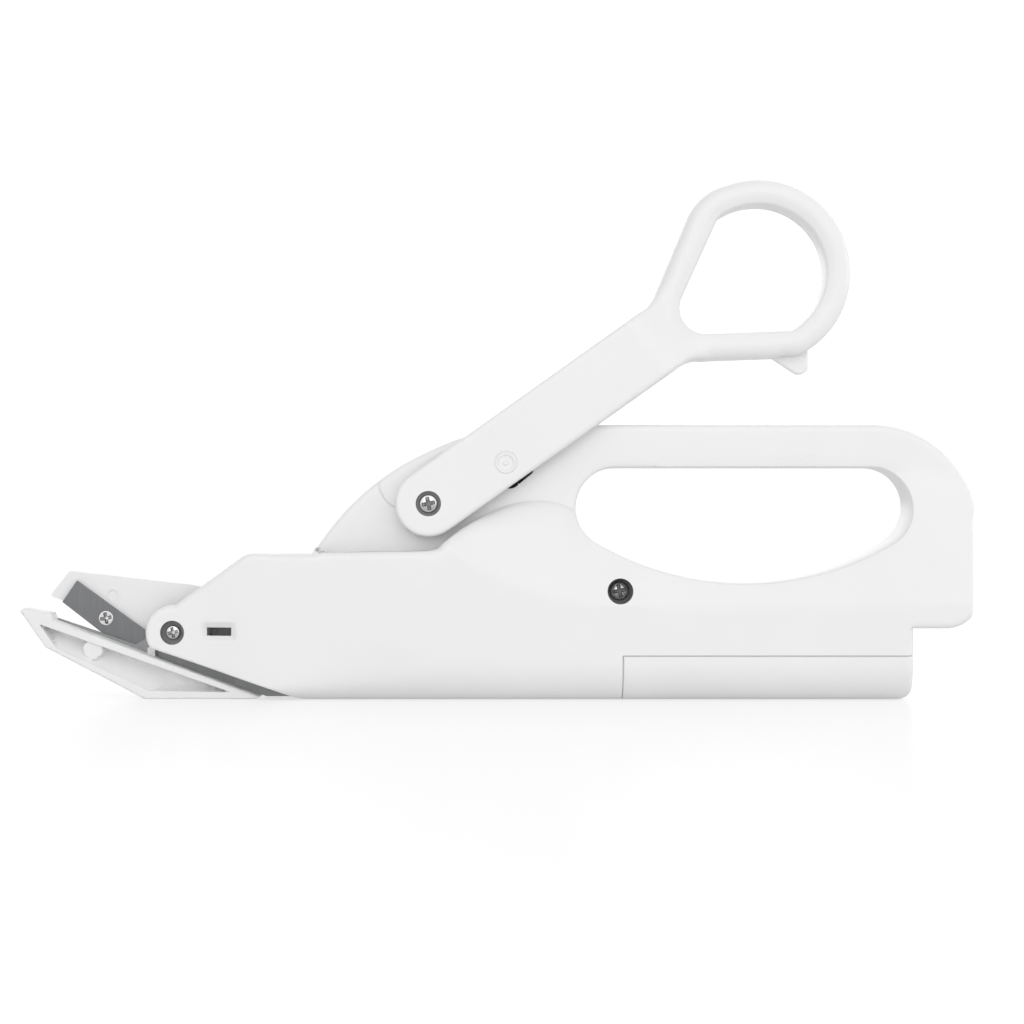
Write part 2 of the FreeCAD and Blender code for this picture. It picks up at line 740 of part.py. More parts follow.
def lever():
    """The lever, the pin that drives the switch, and the hinge that holds the lever to the casing."""
    side = [lever_outline(), ring_hole_outline()]
    blank = prism("lever_blank", side, "-arm_outside - 1", "arm_outside + 1")
    plan = prism("lever_plan", [fork_plan()], "-60", "60", "Z")
    plan_turned = doc.addObject("Part::Compound", "lever_plan_turned")
    plan_turned.Links = [plan]
    hinge = ("lever_x", 0, "lever_z")
    place(plan_turned, hinge, Rotation(Vector(0, 1, 0), -size("lever_lean")))
    shape = common("lever_shape", blank, plan_turned)
    hook_trim = [
        block(f"hook_trim_{i}", (16.0, 12.0, 5.2), (74.5, start, 86.0))
        for i, start in enumerate((-13.5, 1.5))
    ]
    shaped = cut("lever_trimmed", shape, *hook_trim)
    bosses = [
        rod(f"lever_boss_{i}", 6.6, 2.4, ("lever_x", start, "lever_z"))
        for i, start in enumerate(("-arm_inside - 0.4", "arm_inside - 2.0"))
    ]
    pin = ("drive_pin_x", "drive_pin_z")
    marks = cut(
        "pin_mark",
        rod("pin_mark_ring", 2.8, 0.25, (pin[0], "-arm_outside - 0.25", pin[1])),
        rod("pin_mark_hollow", 2.2, 0.6, (pin[0], "-arm_outside - 0.5", pin[1])),
    )
    nut_shape = hexagon(size("lever_x"), size("lever_z"), 2.75)
    nut_start = "arm_outside - 1.8"
    ready = cut(
        "lever_body",
        fuse("lever_with_bosses", shaped, *bosses, marks),
        rod("lever_screw_recess", "lever_recess_round", 2.0, ("lever_x", "-arm_outside - 0.2", "lever_z")),
        rod("lever_screw_hole", "screw_round", 40, ("lever_x", -20, "lever_z")),
        rod("drive_pin_seat", "drive_pin_round", 23.6, (pin[0], -11.8, pin[1])),
        prism("lever_nut_seat", [nut_shape], nut_start, "arm_outside + 1"),
    )
    piece("ring_lever", ready)
    piece("drive_pin", rod("drive_pin_rod", "drive_pin_round", 23.6, (pin[0], -11.8, pin[1])))
    bush_start = ("lever_x", "-arm_inside + 2.0", "lever_z")
    bush = cut(
        "lever_bush_body",
        rod("lever_bush_rod", "lever_bush_round", "2 * arm_inside - 4.0", bush_start),
        rod("lever_bush_bore", "screw_round", 40, ("lever_x", -20, "lever_z")),
    )
    piece("lever_bush", bush)
    at = size("lever_x"), size("lever_z")
    head, shank = size("lever_head_round"), size("screw_round")
    piece("lever_screw", phillips_screw("lever_fix", *at, head, shank, -13.0, 13.0))
    nut = cut(
        "lever_nut_body",
        prism("lever_nut_hex", [nut_shape], nut_start, "arm_outside - 0.1"),
        rod("lever_nut_bore", "screw_round", 6, ("lever_x", 9, "lever_z")),
    )
    piece("lever_nut", nut)


def hexagon(x, z, flat_radius):
    corner = flat_radius / cos(pi / 6)
    return [(x + corner * cos(i * pi / 3), z + corner * sin(i * pi / 3)) for i in range(6)]


# ---------------------------------------------------------------- switch


def switch():
    """A push switch under the drive pin: case, plunger, return spring and terminals."""
    case_size = ("switch_long", "2 * switch_half_wide", "switch_tall")
    body = cut(
        "switch_case",
        block("switch_block", case_size, ("switch_x", "-switch_half_wide", "switch_z")),
        block("switch_pocket", (5.0, 6.0, 20), (0.5, -3.0, "switch_z + 3")),
    )
    piece("switch_body", body)
    cap_tall = "drive_pin_z - drive_pin_round - 0.05 - switch_z - 19.2"
    plunger = fuse(
        "plunger_solid",
        block("plunger_stem", (4.8, 5.8, 11.0), (0.6, -2.9, "switch_z + 9")),
        block("plunger_cap", (7.0, 8.0, cap_tall), (-0.5, -4.0, "switch_z + 19.2")),
    )
    piece("switch_plunger", plunger)
    pitch, coil_tall, coil_round, wire_round = 1.8, 5.4, 1.9, 0.25
    helix = Part.makeHelix(pitch, coil_tall, coil_round)
    start = helix.Edges[0].valueAt(helix.Edges[0].FirstParameter)
    profile = Part.Wire([Part.makeCircle(wire_round, start, Vector(0, 1, 0.15))])
    spring = doc.addObject("Part::Feature", "plunger_spring_coil")
    spring.Shape = Part.Wire(helix.Edges).makePipeShell([profile], True, True)
    spring.Placement = Placement(Vector(3.0, 0, size("switch_z") + 3.3), Rotation())
    piece("plunger_spring", spring)
    tabs = [
        block(f"switch_tab_{i}", (3.0, 2.0, 0.4), ("switch_x + switch_long", start, "switch_z + 4"))
        for i, start in enumerate((-4.2, 2.2))
    ]
    piece("switch_terminals", group("switch_tab_group", tabs))


# ---------------------------------------------------------------- drive


def gear(name, teeth, width, start_x, y, z, phase, shift=-0.2):
    """One spur gear along +X, its first tooth turned to the phase in degrees."""
    builder = FCWireBuilder()
    pressure_angle, addendum, dedendum, fillet = 20.0, 1.0, 1.25, 0.3
    form = size("gear_module"), int(size(teeth)), pressure_angle, True, addendum, dedendum, fillet, shift
    involute.CreateExternalGear(builder, *form)
    wire = Part.Wire([item.toShape() for item in builder.wire])
    solid = Part.Face(wire).extrude(Vector(0, 0, width))
    upright = Rotation(Vector(0, 1, 0), Vector(0, 0, 1), Vector(1, 0, 0), "ZXY")
    turn = Rotation(Vector(1, 0, 0), phase)
    item = doc.addObject("Part::Feature", name)
    item.Shape = solid
    item.Placement = Placement(Vector(start_x, y, z), turn.multiply(upright))
    return item


def mesh_phase(phase, teeth, mate_teeth, direction):
    """The mate's phase, so that its gap faces this gear's tooth along the line of centres (degrees)."""
    mine = (direction - phase) * size(teeth) / 360.0
    return direction + 180.0 - (0.5 - mine) * 360.0 / size(mate_teeth)


def gear_train():
    """Pinion, double idler and crank gear with their shafts, meshed at rest."""
    crank_to_idler = degrees(atan2(size("idler_z") - size("crank_z"), size("idler_y")))
    idler_to_motor = degrees(atan2(size("motor_z") - size("idler_z"), -size("idler_y")))
    small_phase = mesh_phase(0.0, "crank_teeth", "idler_small_teeth", crank_to_idler)
    pinion_phase = mesh_phase(small_phase, "idler_large_teeth", "pinion_teeth", idler_to_motor)
    idler_at, idler_formulas = (size("idler_y"), size("idler_z")), ("idler_y", "idler_z")

    crank_gear = cut(
        "crank_gear_body",
        gear("crank_gear_blank", "crank_teeth", 3.2, -50.4, 0, size("crank_z"), 0.0),
        rod("crank_gear_bore", "screw_round", 8, (-52, 0, "crank_z"), "X"),
    )
    piece("crank_gear", crank_gear)
    idler = cut(
        "idler_gear_body",
        fuse(
            "idler_gear_solid",
            gear("idler_small", "idler_small_teeth", 3.6, -50.6, *idler_at, small_phase),
            rod("idler_hub", 1.85, 3.4, (-47.4, *idler_formulas), "X"),
            gear("idler_large", "idler_large_teeth", 2.2, -44.4, *idler_at, small_phase),
        ),
        rod("idler_bore", "small_screw_round + running_gap", 14, (-52, *idler_formulas), "X"),
    )
    piece("idler_gear", idler)
    pinion = cut(
        "pinion_body",
        gear("pinion_blank", "pinion_teeth", 3.0, -44.8, 0, size("motor_z"), pinion_phase),
        rod("pinion_bore", "small_screw_round", 8, (-46, 0, "motor_z"), "X"),
    )
    piece("motor_pinion", pinion)
    pin_long = "rear_plate_x + plate_thick - front_plate_x"
    idler_pin = rod("idler_pin", "small_screw_round", pin_long, ("front_plate_x", *idler_formulas), "X")
    piece("idler_shaft", idler_pin)
    piece("motor_shaft", rod("motor_axle", "small_screw_round", 28.6, (-44.9, 0, "motor_z"), "X"))
    piece("crank_shaft", rod("crank_axle", "screw_round", 9.9, (-55.0, 0, "crank_z"), "X"))


def crank():
    """The crank's disc and its pin, which stands off the shaft by the crank's throw."""
    angle = radians(size("crank_rest_angle"))
    pin_y = size("crank_throw") * sin(angle)
    pin_z = size("crank_z") - size("crank_throw") * cos(angle)
    disc = cut(
        "crank_disc_body",
        rod("crank_disc_blank", 6.0, 1.9, (-55.1, 0, "crank_z"), "X"),
        rod("crank_disc_bore", "screw_round", 6, (-57, 0, "crank_z"), "X"),
        rod("crank_pin_seat", "crank_pin_round", 6, (-57, pin_y, pin_z), "X"),
    )
    return disc, rod("crank_pin_rod", "crank_pin_round", 7.4, (-60.6, pin_y, pin_z), "X")


SPACERS = ((-8.6, 8.4), (8.6, 8.4), (-8.6, 30.6))
MOTOR_FIX = (-7.0, 7.0)


def plate(name, start, holes):
    outline = rounded([(-10.8, 6.4, 2.0), (10.8, 6.4, 2.0), (10.8, 33.4, 4.0), (-10.8, 33.4, 2.0)])
    circles = [circle(y, z, radius) for y, z, radius in holes]
    return prism(name, [outline, *circles], start, f"{start} + plate_thick", "X")


def gearbox():
    """Three plates on spacer tubes and screws, with the crank shaft's bushes, disc and pin."""
    crank_z, motor_z = size("crank_z"), size("motor_z")
    idler = (size("idler_y"), size("idler_z"))
    thin = size("small_screw_round")
    through = [(y, z, thin) for y, z in SPACERS]
    bush = 2.5
    front = plate("front_plate_body", "front_plate_x", through + [(0, crank_z, bush), (*idler, thin)])
    middle = plate("middle_plate_body", "middle_plate_x", through + [(0, crank_z, bush), (*idler, 2.6)])
    motor_fix = [(y, motor_z, thin) for y in MOTOR_FIX]
    rear = plate("rear_plate_body", "rear_plate_x", through + motor_fix + [(0, motor_z, 3.1), (*idler, thin)])
    piece("gearbox_front_plate", front)
    piece("gearbox_middle_plate", middle)
    piece("gearbox_rear_plate", rear)
    spacers = []
    screws = []
    for i, (y, z) in enumerate(SPACERS):
        for start, end in (("front_plate_x", "middle_plate_x"), ("middle_plate_x", "rear_plate_x")):
            name = f"spacer_{i}_{start}"
            tube = rod(name, 1.9, f"{end} - {start} - plate_thick", (f"{start} + plate_thick", y, z), "X")
            bore = rod(name + "_bore", "small_screw_round", 8, (f"{start} + 1", y, z), "X")
            spacers.append(cut(name + "_tube", tube, bore))
        long = size("rear_plate_x") + size("plate_thick") - size("front_plate_x")
        shank = rod(f"gearbox_shank_{i}", "small_screw_round", long, ("front_plate_x", y, z), "X")
        head = rod(f"gearbox_head_{i}", 1.9, 1.2, ("rear_plate_x + plate_thick", y, z), "X")
        screws.append(fuse(f"gearbox_screw_{i}", shank, head))
    piece("gearbox_spacers", group("gearbox_spacer_group", spacers))
    piece("gearbox_screws", group("gearbox_screw_group", screws))
    bushes = []
    for i, start in enumerate(("front_plate_x", "middle_plate_x")):
        flange = rod(f"crank_bush_flange_{i}", 3.2, 0.4, (f"{start} - 0.4", 0, "crank_z"), "X")
        sleeve = rod(f"crank_bush_sleeve_{i}", bush, "plate_thick", (start, 0, "crank_z"), "X")
        bore_at = (f"{start} - 2", 0, "crank_z")
        bore = rod(f"crank_bush_bore_{i}", "screw_round + running_gap", 6, bore_at, "X")
        bushes.append(cut(f"crank_bush_{i}", fuse(f"crank_bush_solid_{i}", flange, sleeve), bore))
    piece("crank_bushes", group("crank_bush_group", bushes))
    disc, pin = crank()
    piece("crank_disc", disc)
    piece("crank_pin", pin)


def motor():
    """A can motor with two flats, its end cap, terminals and the two screws that hold it."""
    flat = 7.5
    edge = sqrt(10.0**2 - flat**2)
    z = size("motor_z")
    outline = [(edge, z - flat), (10.0, z, edge, z + flat), (-edge, z + flat), (-10.0, z, -edge, z - flat)]
    can_start = "rear_plate_x + plate_thick"
    cap = 4.5
    can = cut(
        "motor_can_body",
        fuse(
            "motor_can_solid",
            prism("motor_can_tube", [outline], can_start, f"{can_start} + motor_long - {cap}", "X"),
            rod("motor_front_boss", 3.0, "plate_thick", ("rear_plate_x", 0, "motor_z"), "X"),
        ),
        rod("motor_can_bore", "small_screw_round + running_gap", 40, ("rear_plate_x - 5", 0, "motor_z"), "X"),
        *[
            rod(f"motor_can_pilot_{i}", "small_screw_round", 3.0, (can_start, y, "motor_z"), "X")
            for i, y in enumerate(MOTOR_FIX)
        ],
    )
    piece("motor_can", can)
    can_end = f"{can_start} + motor_long"
    bore_at = (f"{can_end} - {cap} - 0.5", 0, "motor_z")
    end_cap = cut(
        "motor_cap_body",
        prism("motor_cap_block", [outline], f"{can_end} - {cap}", can_end, "X"),
        rod("motor_cap_bore", "small_screw_round + running_gap", 3.0, bore_at, "X"),
    )
    piece("motor_end_cap", end_cap)
    tabs = [
        block(f"motor_tab_{i}", (3.2, 0.5, 2.2), (can_end, y, "motor_z - 1.1"))
        for i, y in enumerate((-6.0, 5.5))
    ]
    piece("motor_terminals", group("motor_tab_group", tabs))
    screws = []
    for i, y in enumerate(MOTOR_FIX):
        head = rod(f"motor_head_{i}", 1.8, 1.2, ("rear_plate_x - 1.2", y, "motor_z"), "X")
        shank = rod(f"motor_shank_{i}", "small_screw_round", 4.4, ("rear_plate_x - 0.2", y, "motor_z"), "X")
        screws.append(fuse(f"motor_screw_{i}", head, shank))
    piece("motor_screws", group("motor_screw_group", screws))


# ---------------------------------------------------------------- power


def battery(name, y, points_forward):
    """One AA cell: a can, a shrunken shoulder and the positive button."""
    button = 1.2
    can_x = "cell_x" if not points_forward else f"cell_x + {button}"
    can = rod(name + "_can", "cell_round", f"cell_long - {button}", (can_x, y, "cell_z"), "X")
    button_x = "cell_x" if points_forward else f"cell_x + cell_long - {button}"
    tip = rod(name + "_button", 2.75, button, (button_x, y, "cell_z"), "X")
    return fuse(name + "_body", can, tip)


def coil_contact(name, x, y, direction):
    """A tapered contact spring as a closed stack of its turns, standing on a plate."""
    turns = [doc.addObject("Part::Torus", f"{name}_turn_{i}") for i in range(4)]
    for i, turn in enumerate(turns):
        radius = 5.0 - 0.75 * i
        bind(turn, Radius1=radius, Radius2=0.45)
        place(turn, (f"{x} + {direction * (0.3 + 0.8 * i):.2f}", y, "cell_z"), TURN["X"])
    return turns


def power():
    """Two cells in a tray, joined in series by a bridge at the rear, with a contact each at the front."""
    tray_walls = [
        block("tray_front", (1.5, 24.0, 14.4), ("tray_x", -12.0, 4.4)),
        block("tray_rear", (1.5, 24.0, 14.4), ("tray_end_x", -12.0, 4.4)),
        block("tray_top", ("tray_end_x - tray_x + 1.5", 27.0, 1.5), ("tray_x", -13.5, 17.3)),
    ]
    piece("battery_tray", fuse("battery_tray_body", *tray_walls))
    piece("battery_cell_near", battery("near_cell", "-cell_y", True))
    piece("battery_cell_far", battery("far_cell", "cell_y", False))
    plate_x = "tray_x + 1.5"
    rear_x = "tray_end_x - 0.4"
    stud = "cell_x - tray_x - 1.9"
    positive = fuse(
        "positive_body",
        block("positive_plate", (0.4, 9.0, 9.0), (plate_x, "-cell_y - 4.5", "cell_z - 4.5")),
        rod("positive_stud", 2.0, stud, ("tray_x + 1.9", "-cell_y", "cell_z"), "X"),
    )
    piece("positive_contact", positive)
    negative = fuse(
        "negative_body",
        block("negative_plate", (0.4, 10.4, 10.4), (plate_x, "cell_y - 5.2", "cell_z - 5.2")),
        *coil_contact("negative", "tray_x + 1.9", "cell_y", 1),
    )
    piece("negative_contact", negative)
    cell_end = "cell_x + cell_long"
    bridge = fuse(
        "bridge_body",
        block("bridge_plate", (0.4, 23.0, 11.0), (rear_x, -11.5, "cell_z - 5.5")),
        rod("bridge_stud", 2.0, f"{rear_x} - ({cell_end})", (cell_end, "cell_y", "cell_z"), "X"),
        *coil_contact("bridge", rear_x, "-cell_y", -1),
    )
    piece("bridge_contact", bridge)


def wire(name, radius, points):
    """A lead: straight runs joined by tangent arcs, each as large as its two runs allow."""
    points = [Vector(*p) for p in points]
    edges = []
    here = points[0]
    for before, corner, after in zip(points, points[1:], points[2:]):
        into, out = before - corner, after - corner
        half = into.getAngle(out) / 2
        trim = 0.45 * min(into.Length, out.Length)
        bend = trim * tan(half)
        start, end = corner + into.normalize() * trim, corner + out.normalize() * trim
        middle = corner + (into + out).normalize() * (bend / sin(half) - bend)
        edges += [Part.LineSegment(here, start).toShape(), Part.Arc(start, middle, end).toShape()]
        here = end
    edges.append(Part.LineSegment(here, points[-1]).toShape())
    spine = Part.Wire(edges)
    profile = Part.Wire([Part.makeCircle(radius, points[0], points[1] - points[0])])
    item = doc.addObject("Part::Feature", name + "_lead")
    item.Shape = spine.makePipeShell([profile], True, False)
    return piece(name, item)


# The leads' routes, each from the battery side or the switch to its far end.
WIRES = {
    "wire_battery_to_switch": (
        (41.0, -7.2, 14.5),
        (33.0, -7.2, 14.5),
        (24.0, -6.0, 27.0),
        (19.0, -3.8, 40.0),
        (15.5, -3.2, 43.2),
        (10.5, -3.2, 43.05),
    ),
    "wire_switch_to_motor": (
        (10.5, 3.2, 43.05),
        (14.5, 3.4, 43.0),
        (15.0, 6.0, 35.0),
        (6.0, 8.0, 26.0),
        (-4.0, 6.2, 18.6),
        (-10.9, 5.75, 18.433),
    ),
    "wire_battery_to_motor": (
        (41.0, 7.2, 14.5),
        (31.0, 7.0, 14.3),
        (14.0, 0.0, 15.0),
        (0.0, -5.2, 18.2),
        (-10.9, -5.75, 18.433),
    ),
}


def wiring():
    for name, points in WIRES.items():
        wire(name, 0.6, points)


def fasteners():
    at = size("body_screw_x"), size("body_screw_z")
    head, shank = size("body_head_round"), size("screw_round")
    piece("body_screw", phillips_screw("body_fix", *at, head, shank, -9.85, 9.0))


casing()
lower_jaw()
upper_jaw()
jaw_pivot()
lever()
switch()
gear_train()
gearbox()
motor()
power()
wiring()
fasteners()
doc.recompute()

faults = [item.Name for item in doc.Objects if {"Invalid", "Error"} & set(item.State)]
faults += [p.Label for p in PIECES if p.Shape.isNull() or not p.Shape.isValid() or not p.Shape.Solids]
if faults:
    raise RuntimeError("these objects failed: " + ", ".join(faults))
os.makedirs("parts", exist_ok=True)
for item in PIECES:
    item.Shape.exportStep(os.path.join("parts", item.Label + ".step"))
print(len(PIECES), "sub-parts written")
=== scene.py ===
"""The looks of the cordless scissors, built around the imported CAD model."""

import json
import math

import bmesh
import bpy
import numpy as np
from mathutils import Matrix, Vector
from mathutils.geometry import delaunay_2d_cdt
from mathutils.kdtree import KDTree


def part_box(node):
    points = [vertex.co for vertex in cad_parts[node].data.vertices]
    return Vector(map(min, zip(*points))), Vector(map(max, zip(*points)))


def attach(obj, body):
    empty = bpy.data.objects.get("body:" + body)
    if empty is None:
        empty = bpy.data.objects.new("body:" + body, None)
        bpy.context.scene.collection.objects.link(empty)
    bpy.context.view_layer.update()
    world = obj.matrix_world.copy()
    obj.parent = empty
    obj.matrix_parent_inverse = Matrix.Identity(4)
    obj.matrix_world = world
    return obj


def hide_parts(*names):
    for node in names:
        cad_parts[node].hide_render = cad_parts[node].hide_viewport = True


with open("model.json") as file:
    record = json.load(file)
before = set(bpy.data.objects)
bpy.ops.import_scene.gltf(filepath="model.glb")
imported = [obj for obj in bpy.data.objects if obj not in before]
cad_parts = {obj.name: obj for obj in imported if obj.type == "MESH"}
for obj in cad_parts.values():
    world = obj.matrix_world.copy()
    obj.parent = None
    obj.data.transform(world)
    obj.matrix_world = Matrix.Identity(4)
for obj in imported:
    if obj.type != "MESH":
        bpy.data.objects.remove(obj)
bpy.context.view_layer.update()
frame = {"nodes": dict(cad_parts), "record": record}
NODES = frame["nodes"]
JOINTS = {joint["name"]: joint for joint in frame["record"]["behaviour"]["joints"]}

# Lengths below are in millimetres, in the frame's axes; MM turns them into metres.
MM = 0.001


def corners(node):
    """A CAD node's lowest and highest corner, in millimetres."""
    low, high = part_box(node)
    return np.array(low) / MM, np.array(high) / MM


def joint_place(name):
    """A joint's place in the side view (x, z)."""
    x, _, z = JOINTS[name]["pos_m"]
    return np.array((x / MM, z / MM))


SHELL_LOW, SHELL_HIGH = corners("near_shell")
DOOR_LOW, DOOR_HIGH = corners("battery_door")
LEVER_PIVOT = joint_place("lever_pivot")
JAW_PIVOT = joint_place("jaw_pivot")
BODY_SCREW = np.array((32.1, 28.8))
BLADE_SCREW = np.array((-105.3, 21.1))
HALF_WIDTH = -SHELL_LOW[1]
WALL = 2.0
BAR_TOP = SHELL_HIGH[2]
REAR = SHELL_HIGH[0]
NOTCH_X = DOOR_HIGH[0]
NOTCH_TOP = 19.1
DOOR_X = DOOR_LOW[0]
DOOR_TOP = 12.0
SEAM = 0.15
BAR_HALF = 9.5
FLOOR_ROUND = 10.0
FIN_HALF = 7.7
EAR_HALF = 10.0
EAR_ROUND = 7.2
REAR_CROWN = 2.6
TUB_TOP = 38.7
MOUTH_X = -74.0
PAD_FOOT, PAD_ROUND = np.array((-24.4, 57.4)), 6.9
ARM_INSIDE, ARM_OUTSIDE, RING_HALF, CROTCH = 10.0, 13.3, 7.5, 73.7
ARM_LEAN = math.radians(36.0)
ARM_DIRECTION = np.array((math.cos(ARM_LEAN), math.sin(ARM_LEAN)))

# ------------------------------------------------------------- outlines


def trace(steps, spacing=1.0):
    """Points along a closed outline: (x, z) ends a straight run, (mid x, mid z, x, z) ends an arc."""
    points = []
    start = np.array(steps[-1][-2:], float)
    for step in steps:
        end = np.array(step[-2:], float)
        if len(step) == 4:
            middle = np.array(step[:2], float)
            a, b = middle - start, end - start
            cross = 2 * (a[0] * b[1] - a[1] * b[0])
            ux = (b[1] * a.dot(a) - a[1] * b.dot(b)) / cross
            uz = (a[0] * b.dot(b) - b[0] * a.dot(a)) / cross
            centre = start + np.array((ux, uz))
            radius = math.hypot(ux, uz)
            first = math.atan2(*(start - centre)[::-1])
            turn = 1.0 if cross > 0 else -1.0
            sweep = (turn * (math.atan2(*(end - centre)[::-1]) - first)) % (2 * math.pi)
            count = max(3, int(radius * sweep / min(spacing, radius * 0.16)))
            for i in range(1, count + 1):
                angle = first + turn * sweep * i / count
                points.append(centre + radius * np.array((math.cos(angle), math.sin(angle))))
        else:
            length = np.linalg.norm(end - start)
            count = max(1, round(length / spacing))
            points += [start + (end - start) * i / count for i in range(1, count + 1)]
        start = end
    return np.array(points)


def rounded(polygon):
    """Steps of a polygon whose corners are (x, z) or (x, z, radius)."""
    steps = []
    for i, corner in enumerate(polygon):
        here = np.array(corner[:2], float)
        if len(corner) == 2:
            steps.append(tuple(here))
            continue
        before = np.array(polygon[i - 1][:2], float) - here
        after = np.array(polygon[(i + 1) % len(polygon)][:2], float) - here
        before /= np.linalg.norm(before)
        after /= np.linalg.norm(after)
        half = math.acos(np.clip(before.dot(after), -1, 1)) / 2
        bisector = (before + after) / np.linalg.norm(before + after)
        middle = here + bisector * corner[2] * (1 / math.sin(half) - 1)
        run = corner[2] / math.tan(half)
        steps += [tuple(here + before * run), (*middle, *(here + after * run))]
    return steps


def ring(centre, radius, count=40):
    angles = np.linspace(0, 2 * math.pi, count, endpoint=False)
    return np.column_stack((centre[0] + radius * np.cos(angles), centre[1] + radius * np.sin(angles)))


def spline(points, spacing=1.0):
    """A smooth open line through its points."""
    points = np.array(points, float)
    padded = np.vstack((2 * points[0] - points[1], points, 2 * points[-1] - points[-2]))
    line = [points[0]]
    for a, b, c, d in zip(padded, padded[1:], padded[2:], padded[3:]):
        count = max(1, round(np.linalg.norm(c - b) / spacing))
        for t in np.linspace(0, 1, count + 1)[1:]:
            line.append(0.5 * (2 * b + (c - a) * t + (2 * a - 5 * b + 4 * c - d) * t**2
                               + (3 * b - a - 3 * c + d) * t**3))
    return np.array(line)


def inside(points, polygon):
    """Which points lie inside a closed polygon."""
    result = np.zeros(len(points), bool)
    x, z = points[:, 0], points[:, 1]
    for (x0, z0), (x1, z1) in zip(polygon, np.roll(polygon, -1, axis=0)):
        crosses = (z0 > z) != (z1 > z)
        with np.errstate(divide="ignore", invalid="ignore"):
            reach = (x1 - x0) * (z - z0) / (z1 - z0) + x0
        result ^= crosses & (x < reach)
    return result


def nearest(points, line, closed=True):
    """Distance from each point to a line, and the place along the line's points as a float index."""
    a = line if closed else line[:-1]
    b = np.roll(line, -1, axis=0) if closed else line[1:]
    run = b - a
    best = np.full(len(points), 1e9)
    where = np.zeros(len(points))
    for start in range(0, len(points), 4000):
        part = points[start:start + 4000]
        offset = part[:, None] - a[None]
        t = np.clip((offset * run).sum(2) / np.maximum((run * run).sum(1), 1e-12), 0, 1)
        gap = np.linalg.norm(offset - t[..., None] * run, axis=2)
        pick = gap.argmin(1)
        rows = np.arange(len(part))
        best[start:start + 4000] = gap[rows, pick]
        where[start:start + 4000] = pick + t[rows, pick]
    return best, where


def inward(outline):
    """Each outline point's unit normal, pointing into the outline."""
    tangent = np.roll(outline, -1, axis=0) - np.roll(outline, 1, axis=0)
    tangent /= np.linalg.norm(tangent, axis=1)[:, None]
    normal = np.column_stack((-tangent[:, 1], tangent[:, 0]))
    x, z = outline[:, 0], outline[:, 1]
    area = 0.5 * np.sum(x * np.roll(z, -1) - np.roll(x, -1) * z)
    return normal if area > 0 else -normal


def ease(t):
    t = np.clip(t, 0, 1)
    return t * t * (3 - 2 * t)


def fillet(distance, radius):
    """How far a rounded edge drops, at a distance in from the edge."""
    t = np.clip(distance / np.maximum(radius, 1e-6), 0, 1)
    return radius * (1 - np.sqrt(1 - (1 - t) ** 2))


# ------------------------------------------------------------- skins


